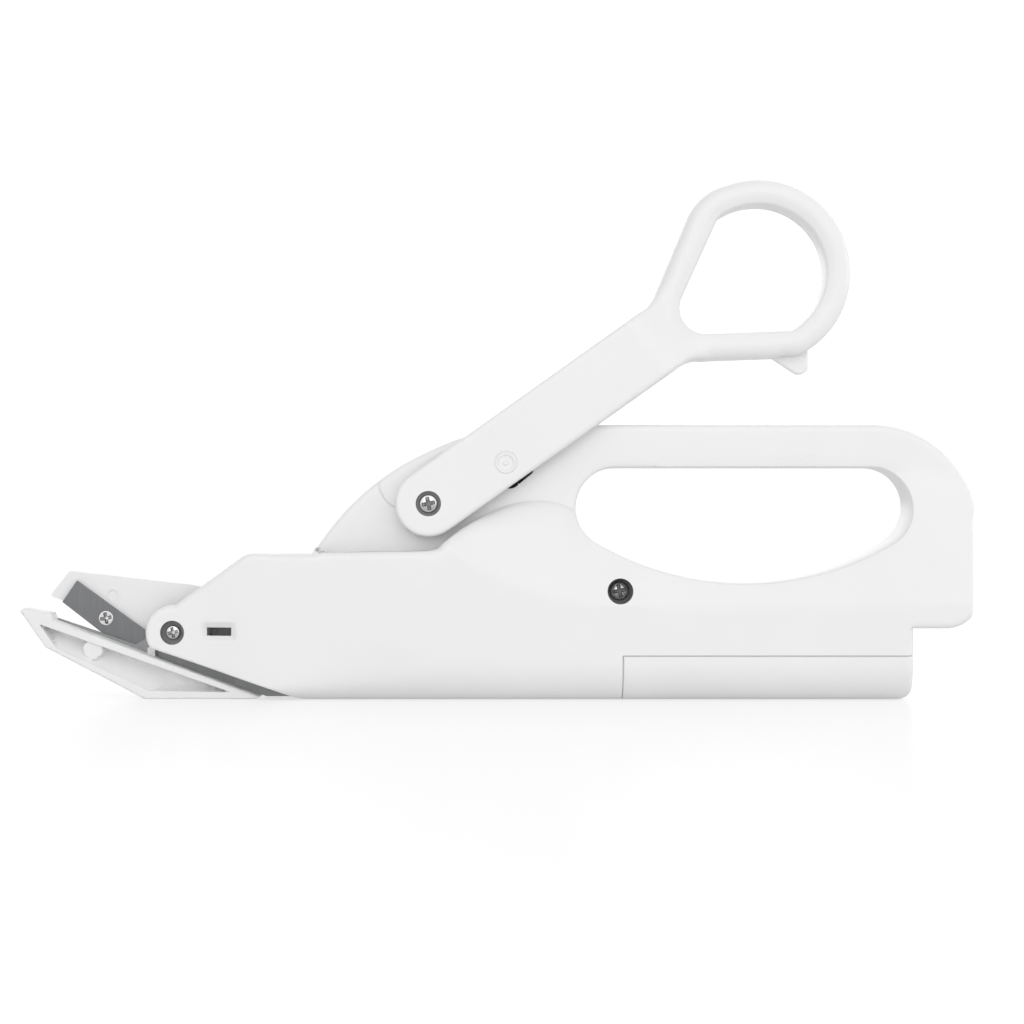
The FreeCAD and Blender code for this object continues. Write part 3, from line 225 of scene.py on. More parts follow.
class Patch:
    """A filled area of the side view, ready to be lifted to a piece's outer and inner faces."""

    def __init__(self, outline, openings=(), lines=(), rings=(), grid=2.4, depths=(0.25, 0.7, 1.4, 2.4)):
        loops = [outline, *openings]
        keep = [np.vstack(loops)]
        edges = []
        start = 0
        for loop in loops:
            edges += [(start + i, start + (i + 1) % len(loop)) for i in range(len(loop))]
            start += len(loop)
        for line, closed in lines:
            keep.append(line)
            last = len(line) if closed else len(line) - 1
            edges += [(start + i, start + (i + 1) % len(line)) for i in range(last)]
            start += len(line)
        fixed = np.vstack(keep)
        fill = list(rings)
        for loop, side in [(outline, 1)] + [(opening, -1) for opening in openings]:
            for depth in depths:
                fill.append(loop + side * inward(loop) * depth)
        for line, closed in lines:
            normal = inward(line)
            for depth in depths:
                fill += [line + normal * depth, line - normal * depth]
        fill = self.thin(np.vstack(fill), fixed, 0.2, 0.32)
        low, high = outline.min(0), outline.max(0)
        across = np.arange(low[0], high[0], grid)
        up = np.arange(low[1], high[1], grid * 0.87)
        x, z = np.meshgrid(across, up)
        x = x + (np.arange(len(up)) % 2)[:, None] * grid / 2
        cells = np.column_stack((x.ravel(), z.ravel()))
        cells = self.thin(cells, np.vstack((fixed, fill)), grid * 0.62, 0.01)
        loose = np.vstack((fill, cells))
        loose = loose[self.within(loose, outline, openings)]
        coords = [Vector(p) for p in np.vstack((fixed, loose))]
        made = delaunay_2d_cdt(coords, edges, [], 0, 1e-5, False)
        self.points = np.array([tuple(v) for v in made[0]])
        triangles = np.array(made[2])
        centres = self.points[triangles].mean(1)
        kept = self.within(centres, outline, openings)
        self.triangles = triangles[kept]
        self.centres = centres[kept]
        a, b, c = (self.points[self.triangles[:, i]] for i in range(3))
        area = (b[:, 0] - a[:, 0]) * (c[:, 1] - a[:, 1]) - (c[:, 0] - a[:, 0]) * (b[:, 1] - a[:, 1])
        flip = area < 0
        self.triangles[flip] = self.triangles[flip][:, ::-1]
        thick = np.abs(area) > 1e-7
        self.triangles, self.centres = self.triangles[thick], self.centres[thick]

    @staticmethod
    def within(points, outline, openings):
        result = inside(points, outline)
        for opening in openings:
            result &= ~inside(points, opening)
        return result

    @staticmethod
    def thin(points, fixed, clear, apart):
        """Drops points that stand too near the fixed ones or each other."""
        cell = {tuple(key): i for i, key in enumerate(np.round(points / apart).astype(int))}
        points = points[sorted(cell.values())]
        tree = KDTree(len(fixed))
        for i, p in enumerate(fixed):
            tree.insert((p[0], p[1], 0), i)
        tree.balance()
        return points[[tree.find((p[0], p[1], 0))[2] > clear for p in points]]

    def lift(self, sheet, side, outer, inner, outer_area=None, inner_area=None):
        """Adds the patch's faces to a bmesh on one side.

        outer and inner map an area's name to its height over the middle plane. An inner height of None
        leaves the piece open to its mirrored half at the middle.
        """
        count = len(self.triangles)
        outer_area = np.full(count, "all") if outer_area is None else outer_area
        inner_area = np.full(count, "all") if inner_area is None else inner_area
        heights = {("o", name): rule(self.points) for name, rule in outer.items()}
        for name, rule in inner.items():
            heights[("i", name)] = np.zeros(len(self.points)) if rule is None else rule(self.points)
        made = {}

        def corner(kind, index):
            key = (kind, index)
            if key not in made:
                x, z = self.points[index]
                made[key] = sheet.verts.new((x * MM, side * heights[kind][index] * MM, z * MM))
            return made[key]

        def face(vertices):
            unique = list(dict.fromkeys(vertices))
            if len(unique) > 2 and sheet.faces.get(unique) is None:
                sheet.faces.new(unique)

        edges = {}
        for number, triangle in enumerate(self.triangles):
            kind_o, kind_i = ("o", outer_area[number]), ("i", inner_area[number])
            order = triangle if side < 0 else triangle[::-1]
            face([corner(kind_o, i) for i in order])
            if inner[inner_area[number]] is not None:
                face([corner(kind_i, i) for i in order[::-1]])
            for a, b in zip(triangle, np.roll(triangle, -1)):
                edges.setdefault((min(a, b), max(a, b)), []).append((a, b, kind_o, kind_i))
        for uses in edges.values():
            a, b, kind_o, kind_i = uses[0]
            if len(uses) == 1:
                walls = [(kind_o, kind_i)]
            else:
                other_o, other_i = uses[1][2], uses[1][3]
                walls = [pair for pair in ((kind_o, other_o), (other_i, kind_i)) if pair[0] != pair[1]]
            for top, bottom in walls:
                loop = [corner(top, b), corner(top, a), corner(bottom, a), corner(bottom, b)]
                if side > 0:
                    loop.reverse()
                face(loop)


def block(sheet, size, centre):
    """Adds a box to a bmesh, sized and placed in millimetres."""
    made = bmesh.ops.create_cube(sheet, size=1.0)["verts"]
    bmesh.ops.scale(sheet, vec=Vector(size) * MM, verts=made)
    bmesh.ops.translate(sheet, vec=Vector(centre) * MM, verts=made)


def finished(name, sheet, body, nodes, material, sharp=32.0):
    """Turns a bmesh into a smooth-shaded piece that stands for CAD nodes."""
    bmesh.ops.remove_doubles(sheet, verts=sheet.verts, dist=0.004 * MM)
    bmesh.ops.dissolve_degenerate(sheet, edges=sheet.edges, dist=0.002 * MM)
    bmesh.ops.recalc_face_normals(sheet, faces=sheet.faces)
    mesh = bpy.data.meshes.new(name)
    sheet.to_mesh(mesh)
    sheet.free()
    mesh.shade_smooth()
    mesh.set_sharp_from_angle(angle=math.radians(sharp))
    mesh.materials.append(material)
    piece = bpy.data.objects.new(name, mesh)
    bpy.context.scene.collection.objects.link(piece)
    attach(piece, body)
    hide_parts(*nodes)
    return piece


# ------------------------------------------------------------- materials


def material(name, colour, roughness, metallic, build):
    made = bpy.data.materials.new(name)
    made.use_nodes = True
    shader = made.node_tree.nodes["Principled BSDF"]
    shader.inputs["Base Color"].default_value = (*colour, 1)
    shader.inputs["Roughness"].default_value = roughness
    shader.inputs["Metallic"].default_value = metallic
    build(made.node_tree, shader, colour, roughness)
    return made


def link(tree, start, end):
    tree.links.new(start, end)


def add(tree, kind, **values):
    node = tree.nodes.new(kind)
    for key, value in values.items():
        if hasattr(node, key):
            setattr(node, key, value)
        else:
            node.inputs[key.replace("_", " ")].default_value = value
    return node


def object_place(tree, stretch=(1, 1, 1)):
    """Texture coordinates fixed to the piece, in metres, stretched per axis."""
    place = add(tree, "ShaderNodeTexCoord")
    mapping = add(tree, "ShaderNodeMapping")
    mapping.inputs["Scale"].default_value = stretch
    link(tree, place.outputs["Object"], mapping.inputs["Vector"])
    return mapping.outputs["Vector"]


def mixed_colour(tree, factor, low, high):
    ramp = add(tree, "ShaderNodeValToRGB")
    ramp.color_ramp.elements[0].color = (*low, 1)
    ramp.color_ramp.elements[1].color = (*high, 1)
    ramp.color_ramp.elements[0].position = 0.3
    ramp.color_ramp.elements[1].position = 0.7
    link(tree, factor, ramp.inputs["Fac"])
    return ramp.outputs["Color"]


def mapped(tree, factor, low, high):
    node = add(tree, "ShaderNodeMapRange")
    node.inputs["To Min"].default_value = low
    node.inputs["To Max"].default_value = high
    link(tree, factor, node.inputs["Value"])
    return node.outputs["Result"]


def painted_well_shade_mask(tree, wells):
    """Mask for painted shade: 1 inside screw wells given as (x, z, radius) in millimetres, else 0."""
    flat = add(tree, "ShaderNodeVectorMath", operation="MULTIPLY")
    flat.inputs[1].default_value = (1, 0, 1)
    link(tree, object_place(tree), flat.inputs[0])
    total = None
    for x, z, radius in wells:
        gap = add(tree, "ShaderNodeVectorMath", operation="DISTANCE")
        gap.inputs[1].default_value = (x * MM, 0, z * MM)
        link(tree, flat.outputs["Vector"], gap.inputs[0])
        within = add(tree, "ShaderNodeMath", operation="LESS_THAN")
        within.inputs[1].default_value = radius * MM
        link(tree, gap.outputs["Value"], within.inputs[0])
        if total is None:
            total = within.outputs["Value"]
        else:
            both = add(tree, "ShaderNodeMath", operation="MAXIMUM")
            link(tree, total, both.inputs[0])
            link(tree, within.outputs["Value"], both.inputs[1])
            total = both.outputs["Value"]
    return total


def moulded(grain_per_m, depth, spread=0.012, wells=()):
    """Moulded plastic: a spark-eroded grain, slow gloss changes, a very slight tint drift, and painted shade
    that darkens the screw wells.
    """

    def build(tree, shader, colour, roughness):
        place = object_place(tree)
        grain = add(tree, "ShaderNodeTexNoise", Scale=grain_per_m, Detail=2.0, Roughness=0.6)
        slow = add(tree, "ShaderNodeTexNoise", Scale=38.0, Detail=3.0, Roughness=0.5)
        for noise in (grain, slow):
            link(tree, place, noise.inputs["Vector"])
        low = tuple(c * (1 - spread) for c in colour)
        high = tuple(min(1.0, c * (1 + spread)) for c in colour)
        tint = mixed_colour(tree, slow.outputs["Fac"], low, high)
        # Painted shade: inside the screw wells the base colour turns dark grey, standing in for the shade of
        # these deep recesses.
        if wells:
            mix = add(tree, "ShaderNodeMix", data_type="RGBA")
            link(tree, painted_well_shade_mask(tree, wells), mix.inputs["Factor"])
            link(tree, tint, mix.inputs[6])
            mix.inputs[7].default_value = (0.30, 0.30, 0.305, 1)
            tint = mix.outputs[2]
        link(tree, tint, shader.inputs["Base Color"])
        gloss = mapped(tree, slow.outputs["Fac"], roughness - 0.04, roughness + 0.05)
        link(tree, gloss, shader.inputs["Roughness"])
        bump = add(tree, "ShaderNodeBump", Strength=0.35, Distance=depth)
        link(tree, grain.outputs["Fac"], bump.inputs["Height"])
        link(tree, bump.outputs["Normal"], shader.inputs["Normal"])

    return build


def ground_steel(stretch, depth=0.000004, spread=0.12):
    """Ground or drawn metal: long fine scratches one way, and slow gloss changes."""

    def build(tree, shader, colour, roughness):
        streaks = add(tree, "ShaderNodeTexNoise", Scale=900.0, Detail=4.0, Roughness=0.65)
        slow = add(tree, "ShaderNodeTexNoise", Scale=120.0, Detail=3.0)
        link(tree, object_place(tree, stretch), streaks.inputs["Vector"])
        link(tree, object_place(tree), slow.inputs["Vector"])
        low = tuple(c * (1 - spread) for c in colour)
        high = tuple(min(1.0, c * (1 + spread)) for c in colour)
        link(tree, mixed_colour(tree, streaks.outputs["Fac"], low, high), shader.inputs["Base Color"])
        gloss = mapped(tree, slow.outputs["Fac"], roughness - 0.07, roughness + 0.09)
        link(tree, gloss, shader.inputs["Roughness"])
        bump = add(tree, "ShaderNodeBump", Strength=0.5, Distance=depth)
        link(tree, streaks.outputs["Fac"], bump.inputs["Height"])
        link(tree, bump.outputs["Normal"], shader.inputs["Normal"])

    return build


WHITE = (0.83, 0.83, 0.835)
# Screw wells whose base colour is mixed to dark grey as painted shade: x, z and radius in millimetres.
NEAR_SHADED_WELLS = ((*BODY_SCREW, 3.4), (*JAW_PIVOT, 3.2))
LEVER_SHADED_WELLS = ((*LEVER_PIVOT, 3.35),)
# Each material's name, colour, roughness, metallic part and texture.
FINISHES = (
    ("casing_white", WHITE, 0.36, 0.0, moulded(5200.0, 0.000010)),
    ("near_white", WHITE, 0.36, 0.0, moulded(5200.0, 0.000010, wells=NEAR_SHADED_WELLS)),
    ("lever_white", WHITE, 0.36, 0.0, moulded(5200.0, 0.000010, wells=LEVER_SHADED_WELLS)),
    ("jaw_white", (0.81, 0.81, 0.815), 0.42, 0.0, moulded(4200.0, 0.000012)),
    ("blade_steel", (0.17, 0.172, 0.176), 0.36, 0.85, ground_steel((1, 1, 0.06), spread=0.05)),
    ("screw_steel", (0.60, 0.60, 0.60), 0.22, 1.0, ground_steel((1, 1, 1))),
    ("pin_steel", (0.50, 0.51, 0.52), 0.30, 1.0, ground_steel((1, 0.08, 1))),
    ("spring_steel", (0.42, 0.43, 0.44), 0.32, 1.0, ground_steel((1, 1, 1))),
    ("motor_steel", (0.52, 0.53, 0.54), 0.38, 1.0, ground_steel((0.05, 1, 1))),
    ("black_plastic", (0.022, 0.022, 0.024), 0.45, 0.0, moulded(3800.0, 0.000014, 0.1)),
    ("contact_metal", (0.62, 0.60, 0.56), 0.25, 1.0, ground_steel((1, 0.1, 1))),
    ("brass_gear", (0.60, 0.42, 0.16), 0.28, 1.0, ground_steel((0.1, 1, 1))),
    ("gear_plastic", (0.66, 0.65, 0.60), 0.48, 0.0, moulded(3600.0, 0.000010, 0.03)),
    ("battery_jacket", (0.035, 0.045, 0.06), 0.25, 0.0, moulded(2600.0, 0.000004, 0.06)),
    ("wire_red", (0.34, 0.012, 0.012), 0.5, 0.0, moulded(3000.0, 0.000010, 0.06)),
    ("wire_black", (0.012, 0.012, 0.013), 0.5, 0.0, moulded(3000.0, 0.000010, 0.1)),
    ("blade_back", (0.27, 0.272, 0.276), 0.42, 0.7, ground_steel((1, 1, 0.06), spread=0.05)),
)
MATERIALS = {name: material(name, *finish) for name, *finish in FINISHES}

# ------------------------------------------------------------- casing


def polar(centre, radius, degrees):
    angle = math.radians(degrees)
    return (centre[0] + radius * math.cos(angle), centre[1] + radius * math.sin(angle))


def side_steps():
    """The casing from the side, clockwise from the front of the tub's top."""
    corner, foot = 27.6, 9.3
    cut = 1 - math.cos(math.pi / 4)
    crown, heel = polar(JAW_PIVOT, EAR_ROUND, 86.0), polar(JAW_PIVOT, EAR_ROUND, -146.0)
    return [
        *rounded([crown, (-66.3, 38.6, 4.0), (-49.0, TUB_TOP)])[1:],
        (-37.4, 53.1, -18.8, 65.5),
        (-6.0, 70.4, 8.0, BAR_TOP),
        (REAR - corner, BAR_TOP),
        (REAR - corner * cut, BAR_TOP - corner * cut, REAR, BAR_TOP - corner),
        (REAR, NOTCH_TOP + foot),
        (REAR - foot * cut, NOTCH_TOP + foot * cut, REAR - foot, NOTCH_TOP),
        (NOTCH_X, NOTCH_TOP),
        (NOTCH_X, 3.0),
        (NOTCH_X - 0.88, 0.88, NOTCH_X - 3.0, 0.0),
        (-50.6, 0.0),
        (-54.0, 0.8, -58.0, 2.25),
        heel,
        (JAW_PIVOT[0] - EAR_ROUND, JAW_PIVOT[1], *crown),
    ]


def hole_steps():
    """The hand hole: a straight top, two end rounds and one long arc below."""
    top, bottom, big, small, middle_x = 61.4, 30.8, 77.0, 10.7, 65.0
    centre = np.array((middle_x, bottom + big))
    end_z = top - small
    reach = math.sqrt((big - small) ** 2 - (centre[1] - end_z) ** 2)
    lean = math.degrees(math.atan2(end_z - centre[1], reach))
    touch = polar(centre, big, lean)
    far = polar((middle_x + reach, end_z), small, (lean + 90) / 2)
    return [
        (middle_x + reach, top),
        (*far, *touch),
        (middle_x, bottom, 2 * middle_x - touch[0], touch[1]),
        (2 * middle_x - far[0], far[1], middle_x - reach, top),
    ]


SIDE = trace(side_steps())
HOLE = trace(hole_steps())
WINDOW_LOW = (3.1, 58.8)
WINDOW = trace(
    [(9.2, 60.0), (9.6, 66.6), (-2.0, 67.0), (0.1, 59.8),
     (*polar(WINDOW_LOW, 3.0, 225), *polar(WINDOW_LOW, 3.0, -90)),
     (*polar(WINDOW_LOW, 3.0, -68), *polar(WINDOW_LOW, 3.0, -47))],
    0.7,
)
SLOT = trace([(-77.0, 16.9), (-70.4, 16.9), (-70.4, 19.1), (-77.0, 19.1)], 0.6)
SLOT_FRAME = trace([(-78.6, 15.3), (-68.8, 15.3), (-68.8, 20.8), (-78.6, 20.8)], 0.8)
HUMP = spline(
    [(-60.0, 38.8), (-47.0, 38.9), (-30.0, 39.2), (-17.4, 39.6), (-14.2, 41.6), (-9.4, 45.3), (-3.3, 49.0),
     (4.2, 51.8), (11.0, 52.6), (17.0, 51.6), (21.4, 49.4)],
    0.9,
)
DRIVE_PIN = sum(corners("drive_pin"))[[0, 2]] / 2


def pin_slot():
    """The far wall's slot: the drive pin's path about the lever's hinge."""
    across, up = DRIVE_PIN - LEVER_PIVOT
    path, half = math.hypot(across, up), 2.6
    high = math.degrees(math.atan2(up, across))
    low = high - JOINTS["lever_pivot"]["range_deg"][1]
    middle, spare = (high + low) / 2, math.degrees(half / path)

    def at(radius, angle):
        return polar(LEVER_PIVOT, radius, angle)

    return trace(
        [
            (*at(path, high + spare), *at(path + half, high)),
            (*at(path + half, middle), *at(path + half, low)),
            (*at(path, low - spare), *at(path - half, low)),
            (*at(path - half, middle), *at(path - half, high)),
        ],
        0.7,
    )


def edge_radius(x, z):
    """How round the casing's edge is at a point of its outline."""
    if z < 0.6 and x < NOTCH_X - 3.0:
        return 0.3
    if z < 14 and x < -52:
        return 0.5
    if x < -88:
        return 1.1
    return 1.5


def smoothed_radii(outline, rule, reach):
    radii = np.array([rule(x, z) for x, z in outline])
    kernel = np.hanning(2 * reach + 3)[1:-1]
    around = np.concatenate((radii[-reach:], radii, radii[:reach]))
    return np.convolve(around, kernel / kernel.sum(), "valid")


SIDE_RADII = smoothed_radii(SIDE, edge_radius, 3)


def drop_at_edges(points):
    """What the rounded edges of the outline and of the hand hole take off the casing's half width."""
    far, where = nearest(points, SIDE)
    index = where.astype(int) % len(SIDE)
    part = where - where.astype(int)
    radius = SIDE_RADII[index] * (1 - part) + SIDE_RADII[(index + 1) % len(SIDE)] * part
    hole_far, _ = nearest(points, HOLE)
    return np.maximum(fillet(far, radius), fillet(hole_far, 0.6)) + 0.2 * (1 - ease(hole_far / 3.2))


def plan_half(x):
    """The casing's half width from above, before its edges are rounded."""
    sample = np.arange(-140, 140, 0.5)
    places = (-140, -96, -79, -66, -24, 140)
    halves = (9.7, EAR_HALF - 0.1, 10.5, 13.0, HALF_WIDTH, HALF_WIDTH)
    wide = np.interp(sample, places, halves)
    kernel = np.hanning(31)
    smooth = np.convolve(np.pad(wide, 15, "edge"), kernel / kernel.sum(), "valid")
    return np.interp(x, sample, smooth)


def lesser(first, second, blend):
    """The smaller of two heights, with a smooth passage between them."""
    share = np.clip(0.5 + 0.5 * (second - first) / blend, 0, 1)
    return second * (1 - share) + first * share - blend * share * (1 - share)


def body_height(points):
    """Half width of the tub and the D handle."""
    x, z = points[:, 0], points[:, 1]
    start = np.interp(x, [-15, -11, 0.6, 16.3, 26.7, 60, 127], [45, 38.6, 32.3, 27.3, 25.2, 24.5, 26])
    t = np.clip((z - start) / (60 - start), 0, 1)
    lean = t - 0.12 * np.sin(2 * math.pi * t) / (2 * math.pi)
    lean = lean * ease((x + 16) / 6)
    wide = plan_half(x) - (HALF_WIDTH - BAR_HALF) * lean
    crowned = 3.0 + np.clip(REAR - x, 0, 12) * (HALF_WIDTH - 2.0) / REAR_CROWN
    wide = lesser(wide, crowned + 14.0 * ease((z - 47.0) / 12.0), 3.0)
    under = np.clip(FLOOR_ROUND - z, 0, FLOOR_ROUND)
    belly = HALF_WIDTH - FLOOR_ROUND + np.sqrt(FLOOR_ROUND**2 - under**2)
    blend = 0.02 + 1.38 * ease((FLOOR_ROUND + 4.0 - z) / 3.0)
    low = lesser(wide, belly, blend) + blend / 4 * ease((x + 30) / 20)
    wide = np.where(z < FLOOR_ROUND + 4, np.minimum(low, np.minimum(wide, belly)), wide)
    above, along = nearest(points, HUMP, closed=False)
    step = np.clip(wide - FIN_HALF, 0, None)
    progress = np.interp(along / (len(HUMP) - 1), [0, 0.45, 0.62, 0.85, 1], [1.5, 1.7, 3.0, 8.0, 11.0])
    rise = np.clip(above / progress, 0, 1)
    hump_drop = np.minimum(step, progress) * (1 - np.sqrt(1 - (1 - rise) ** 2))
    near_hump = (x > -62) & (x < 40) & (z < 60)
    hump_drop = np.where(near_hump, hump_drop * (1 - ease((x - 21) / 14)), 0)
    return wide - hump_drop - drop_at_edges(points)


def near_height(points):
    """The near side's half width, with the bevelled frame of the snap slot sunk into it."""
    frame_gap, _ = nearest(points, SLOT)
    bevel = 1.3 * np.clip(1 - frame_gap / 1.5, 0, 1)
    in_frame = inside(points, SLOT_FRAME) | (frame_gap < 0.05)
    return body_height(points) - np.where(in_frame, bevel, 0)


def pad_gap(points):
    """Distance from the middle line of the low pad on the fin, which runs up under the lever's arm."""
    run = 40.0 * ARM_DIRECTION
    t = np.clip((points - PAD_FOOT) @ run / (run @ run), 0, 1)
    return np.linalg.norm(points - PAD_FOOT - t[:, None] * run, axis=1)


def fin_height(points):
    """Half width of the fin, which widens to the bar; a low pad lies under the lever."""
    blend = ease((points[:, 0] - 14.0) / 27.0)
    pad = 0.65 * (1 - ease((pad_gap(points) - PAD_ROUND) / 0.5))
    plain = FIN_HALF - 0.65 + np.maximum(pad, (BAR_HALF - FIN_HALF + 0.65) * blend)
    far, hole_far = nearest(points, SIDE)[0], nearest(points, HOLE)[0]
    return plain - np.maximum(fillet(far, 1.5), fillet(hole_far, 1.0)) - 0.15 * (1 - ease(hole_far / 3.2))


def flat(height):
    return lambda points: np.full(len(points), float(height))


def shell(name, side, mouth, blade_gap):
    """One half of the casing. mouth and blade_gap are how far it stands off the middle plane there."""
    near = side < 0
    steps = side_steps()
    cut_at = steps.index((NOTCH_X, 3.0))
    steps[cut_at:cut_at + 2] = [(NOTCH_X, DOOR_TOP), (DOOR_X - SEAM, DOOR_TOP), (DOOR_X - SEAM, 0.0)]
    outline = trace(steps)
    openings = [HOLE, WINDOW if near else pin_slot()]
    # The cup round each screw's head: its centre, radius and the height of its floor.
    cups = {}
    if near:
        openings.append(SLOT)
        cups = {"body_cup": (BODY_SCREW, 3.35, 8.3), "jaw_cup": (JAW_PIVOT, 3.15, 7.05)}
    lines = [(HUMP[(HUMP[:, 0] > -46.5) & (HUMP[:, 0] < 20.2)], False)]
    if near:
        lines.append((SLOT_FRAME, True))
        lines += [(ring(centre, radius), True) for centre, radius, _ in cups.values()]
    lines.append((np.array([(MOUTH_X, z) for z in np.arange(8.6, 32.3, 1.0)]), False))
    for inset, low, high in ((0.6, 25.6, 50.2), (1.2, 24.3, 52.5), (1.9, 23.3, 54.6), (2.8, 22.2, 56.6)):
        lines.append((np.array([(REAR - inset, z) for z in np.arange(low, high, 0.9)]), False))
    depths = (0.08, 0.3, 0.7, 1.2, 1.9, 2.8, 3.8, 5.2, 7.0, 9.2)
    rings = [ring(centre, radius + gap) for centre, radius, _ in cups.values() for gap in (0.12, 0.45, 1.0)]
    rings += [ring(PAD_FOOT, radius, 70) for radius in (6.75, 6.95, 7.15, 7.4, 7.65)]
    patch = Patch(outline, openings, lines, rings, 2.2, depths)
    centres = patch.centres
    line_z = np.interp(centres[:, 0], HUMP[:, 0], HUMP[:, 1])
    fin = (centres[:, 1] > line_z) & (centres[:, 0] > -48) & (centres[:, 0] < 42)
    outer_area = np.where(fin, "fin", "body").astype(object)
    outer = {"body": near_height if near else body_height, "fin": fin_height}
    for cup, (centre, radius, floor) in cups.items():
        outer_area[np.linalg.norm(centres - centre, axis=1) < radius] = cup
        outer[cup] = flat(floor)
    edge_far, _ = nearest(centres, SIDE)
    hole_far, _ = nearest(centres, HOLE)
    rim = (edge_far < WALL) | (hole_far < WALL)
    front = centres[:, 0] < MOUTH_X
    nose = centres[:, 0] < MOUTH_X - 2.5
    at_blade = (centres[:, 0] < -51) & (centres[:, 1] < 12.6)
    hook = rim & (centres[:, 0] > 79.3) & (centres[:, 0] < 89.4) & (centres[:, 1] > 67)
    inner_area = np.where(rim, "rim", "hollow").astype(object)
    inner_area[rim & at_blade] = "blade_gap"
    inner_area[(rim & front) | nose] = "mouth"
    inner_area[hook] = "hook"
    inner_area[(inner_area == "hollow") & fin] = "fin_hollow"
    for centre, radius, _ in cups.values():
        boss = (np.linalg.norm(centres - centre, axis=1) < radius + 1.8) & (inner_area != "mouth")
        inner_area[boss] = "boss"

    def hollow(points):
        return np.maximum(body_height(points) - WALL, 0.4)

    inner = {
        "rim": flat(0.0), "hollow": hollow, "fin_hollow": flat(FIN_HALF - WALL), "mouth": flat(mouth),
        "blade_gap": flat(blade_gap), "hook": flat(1.9), "boss": flat(0.0),
    }
    sheet = bmesh.new()
    patch.lift(sheet, side, outer, inner, outer_area, inner_area)
    look = MATERIALS["near_white" if near else "casing_white"]
    return finished(name, sheet, "housing", [name.replace("_skin", "")], look)


def battery_door():
    """The door under the handle: both sides, the floor and the rear wall in one moulding."""
    outline = trace(
        [(NOTCH_X, 3.0), (NOTCH_X - 0.88, 0.88, NOTCH_X - 3.0, 0.0), (DOOR_X, 0.0),
         (DOOR_X, DOOR_TOP - SEAM), (NOTCH_X, DOOR_TOP - SEAM)]
    )
    floor_line = np.array([(x, WALL) for x in np.arange(DOOR_X + 0.9, NOTCH_X - WALL + 0.01, 1.0)])
    rear_line = np.array([(NOTCH_X - WALL, z) for z in np.arange(WALL + 0.9, DOOR_TOP - 0.8, 1.0)])
    depths = (0.15, 0.4, 0.9, 1.5, 2.4, 3.6, 5.2, 7.0, 9.0)
    patch = Patch(outline, (), [(floor_line, False), (rear_line, False)], (), 2.4, depths)
    centres = patch.centres
    solid = (centres[:, 1] < WALL) | (centres[:, 0] > NOTCH_X - WALL)
    inner_area = np.where(solid, "solid", "hollow").astype(object)

    def outer(points):
        gap, _ = nearest(points, outline)
        seam_edge = (points[:, 1] > DOOR_TOP - SEAM - 0.5) | (points[:, 0] < DOOR_X + 0.5)
        return body_height(points) - np.where(seam_edge, fillet(gap, 0.35), 0)

    def hollow(points):
        return np.maximum(body_height(points) - WALL, 5.0)

    sheet = bmesh.new()
    for side in (-1, 1):
        patch.lift(sheet, side, {"all": outer}, {"solid": None, "hollow": hollow}, None, inner_area)
    for side in (-1, 1):
        block(sheet, (73.8, 0.55, 4.0), (DOOR_X + 38.75, side * 14.625, DOOR_TOP + 0.6))
    look = MATERIALS["casing_white"]
    return finished("battery_door_skin", sheet, "door", ["battery_door"], look)


# ------------------------------------------------------------- lever


RING = np.array((69.3, 113.45))
RING_OUTER, RING_INNER = 24.6, 18.05


def below_ring(x, radius):
    return RING[1] - math.sqrt(radius**2 - (x - RING[0]) ** 2)


def above_ring(x, radius):
    return RING[1] + math.sqrt(radius**2 - (x - RING[0]) ** 2)


def lever_steps():
    """The lever from the side, without its hook, anticlockwise from the underside of its arm."""
    return [
        (48.6, 88.55),
        (51.0, 89.85, 54.5, 90.1),
        (74.3, 90.8),
        (75.6, 91.3),
        (79.6, 91.3),
        (82.0, below_ring(82.0, RING_OUTER)),
        (RING[0] + RING_OUTER, RING[1], 61.0, above_ring(61.0, RING_OUTER)),
        (54.3, 133.2, 49.9, 126.6),
        (42.4, 108.7),
        (41.2, 106.1, 39.4, 103.6),
        polar(LEVER_PIVOT, 8.75, 125.25),
        (*polar(LEVER_PIVOT, 8.75, 216), *polar(LEVER_PIVOT, 8.75, -54.65)),
    ]


def ring_hole_steps():
    return [
        (78.2, below_ring(78.2, RING_INNER)),
        (RING[0] + RING_INNER, RING[1], 60.5, above_ring(60.5, RING_INNER)),
        (58.7, 127.9, 57.6, 126.0),
        (48.8, 106.6),
        (49.6, 99.8, 55.6, 96.9),
    ]


HOOK = trace(
    [(73.2, 90.7), (79.1, 86.8), (80.65, 86.4, 82.2, 87.1), (82.75, 87.75, 82.9, 88.6), (82.9, 93.4),
     (80.0, 94.4), (72.8, 92.2)],
    0.5,
)


def along_arm(points):
    return (points - LEVER_PIVOT) @ ARM_DIRECTION


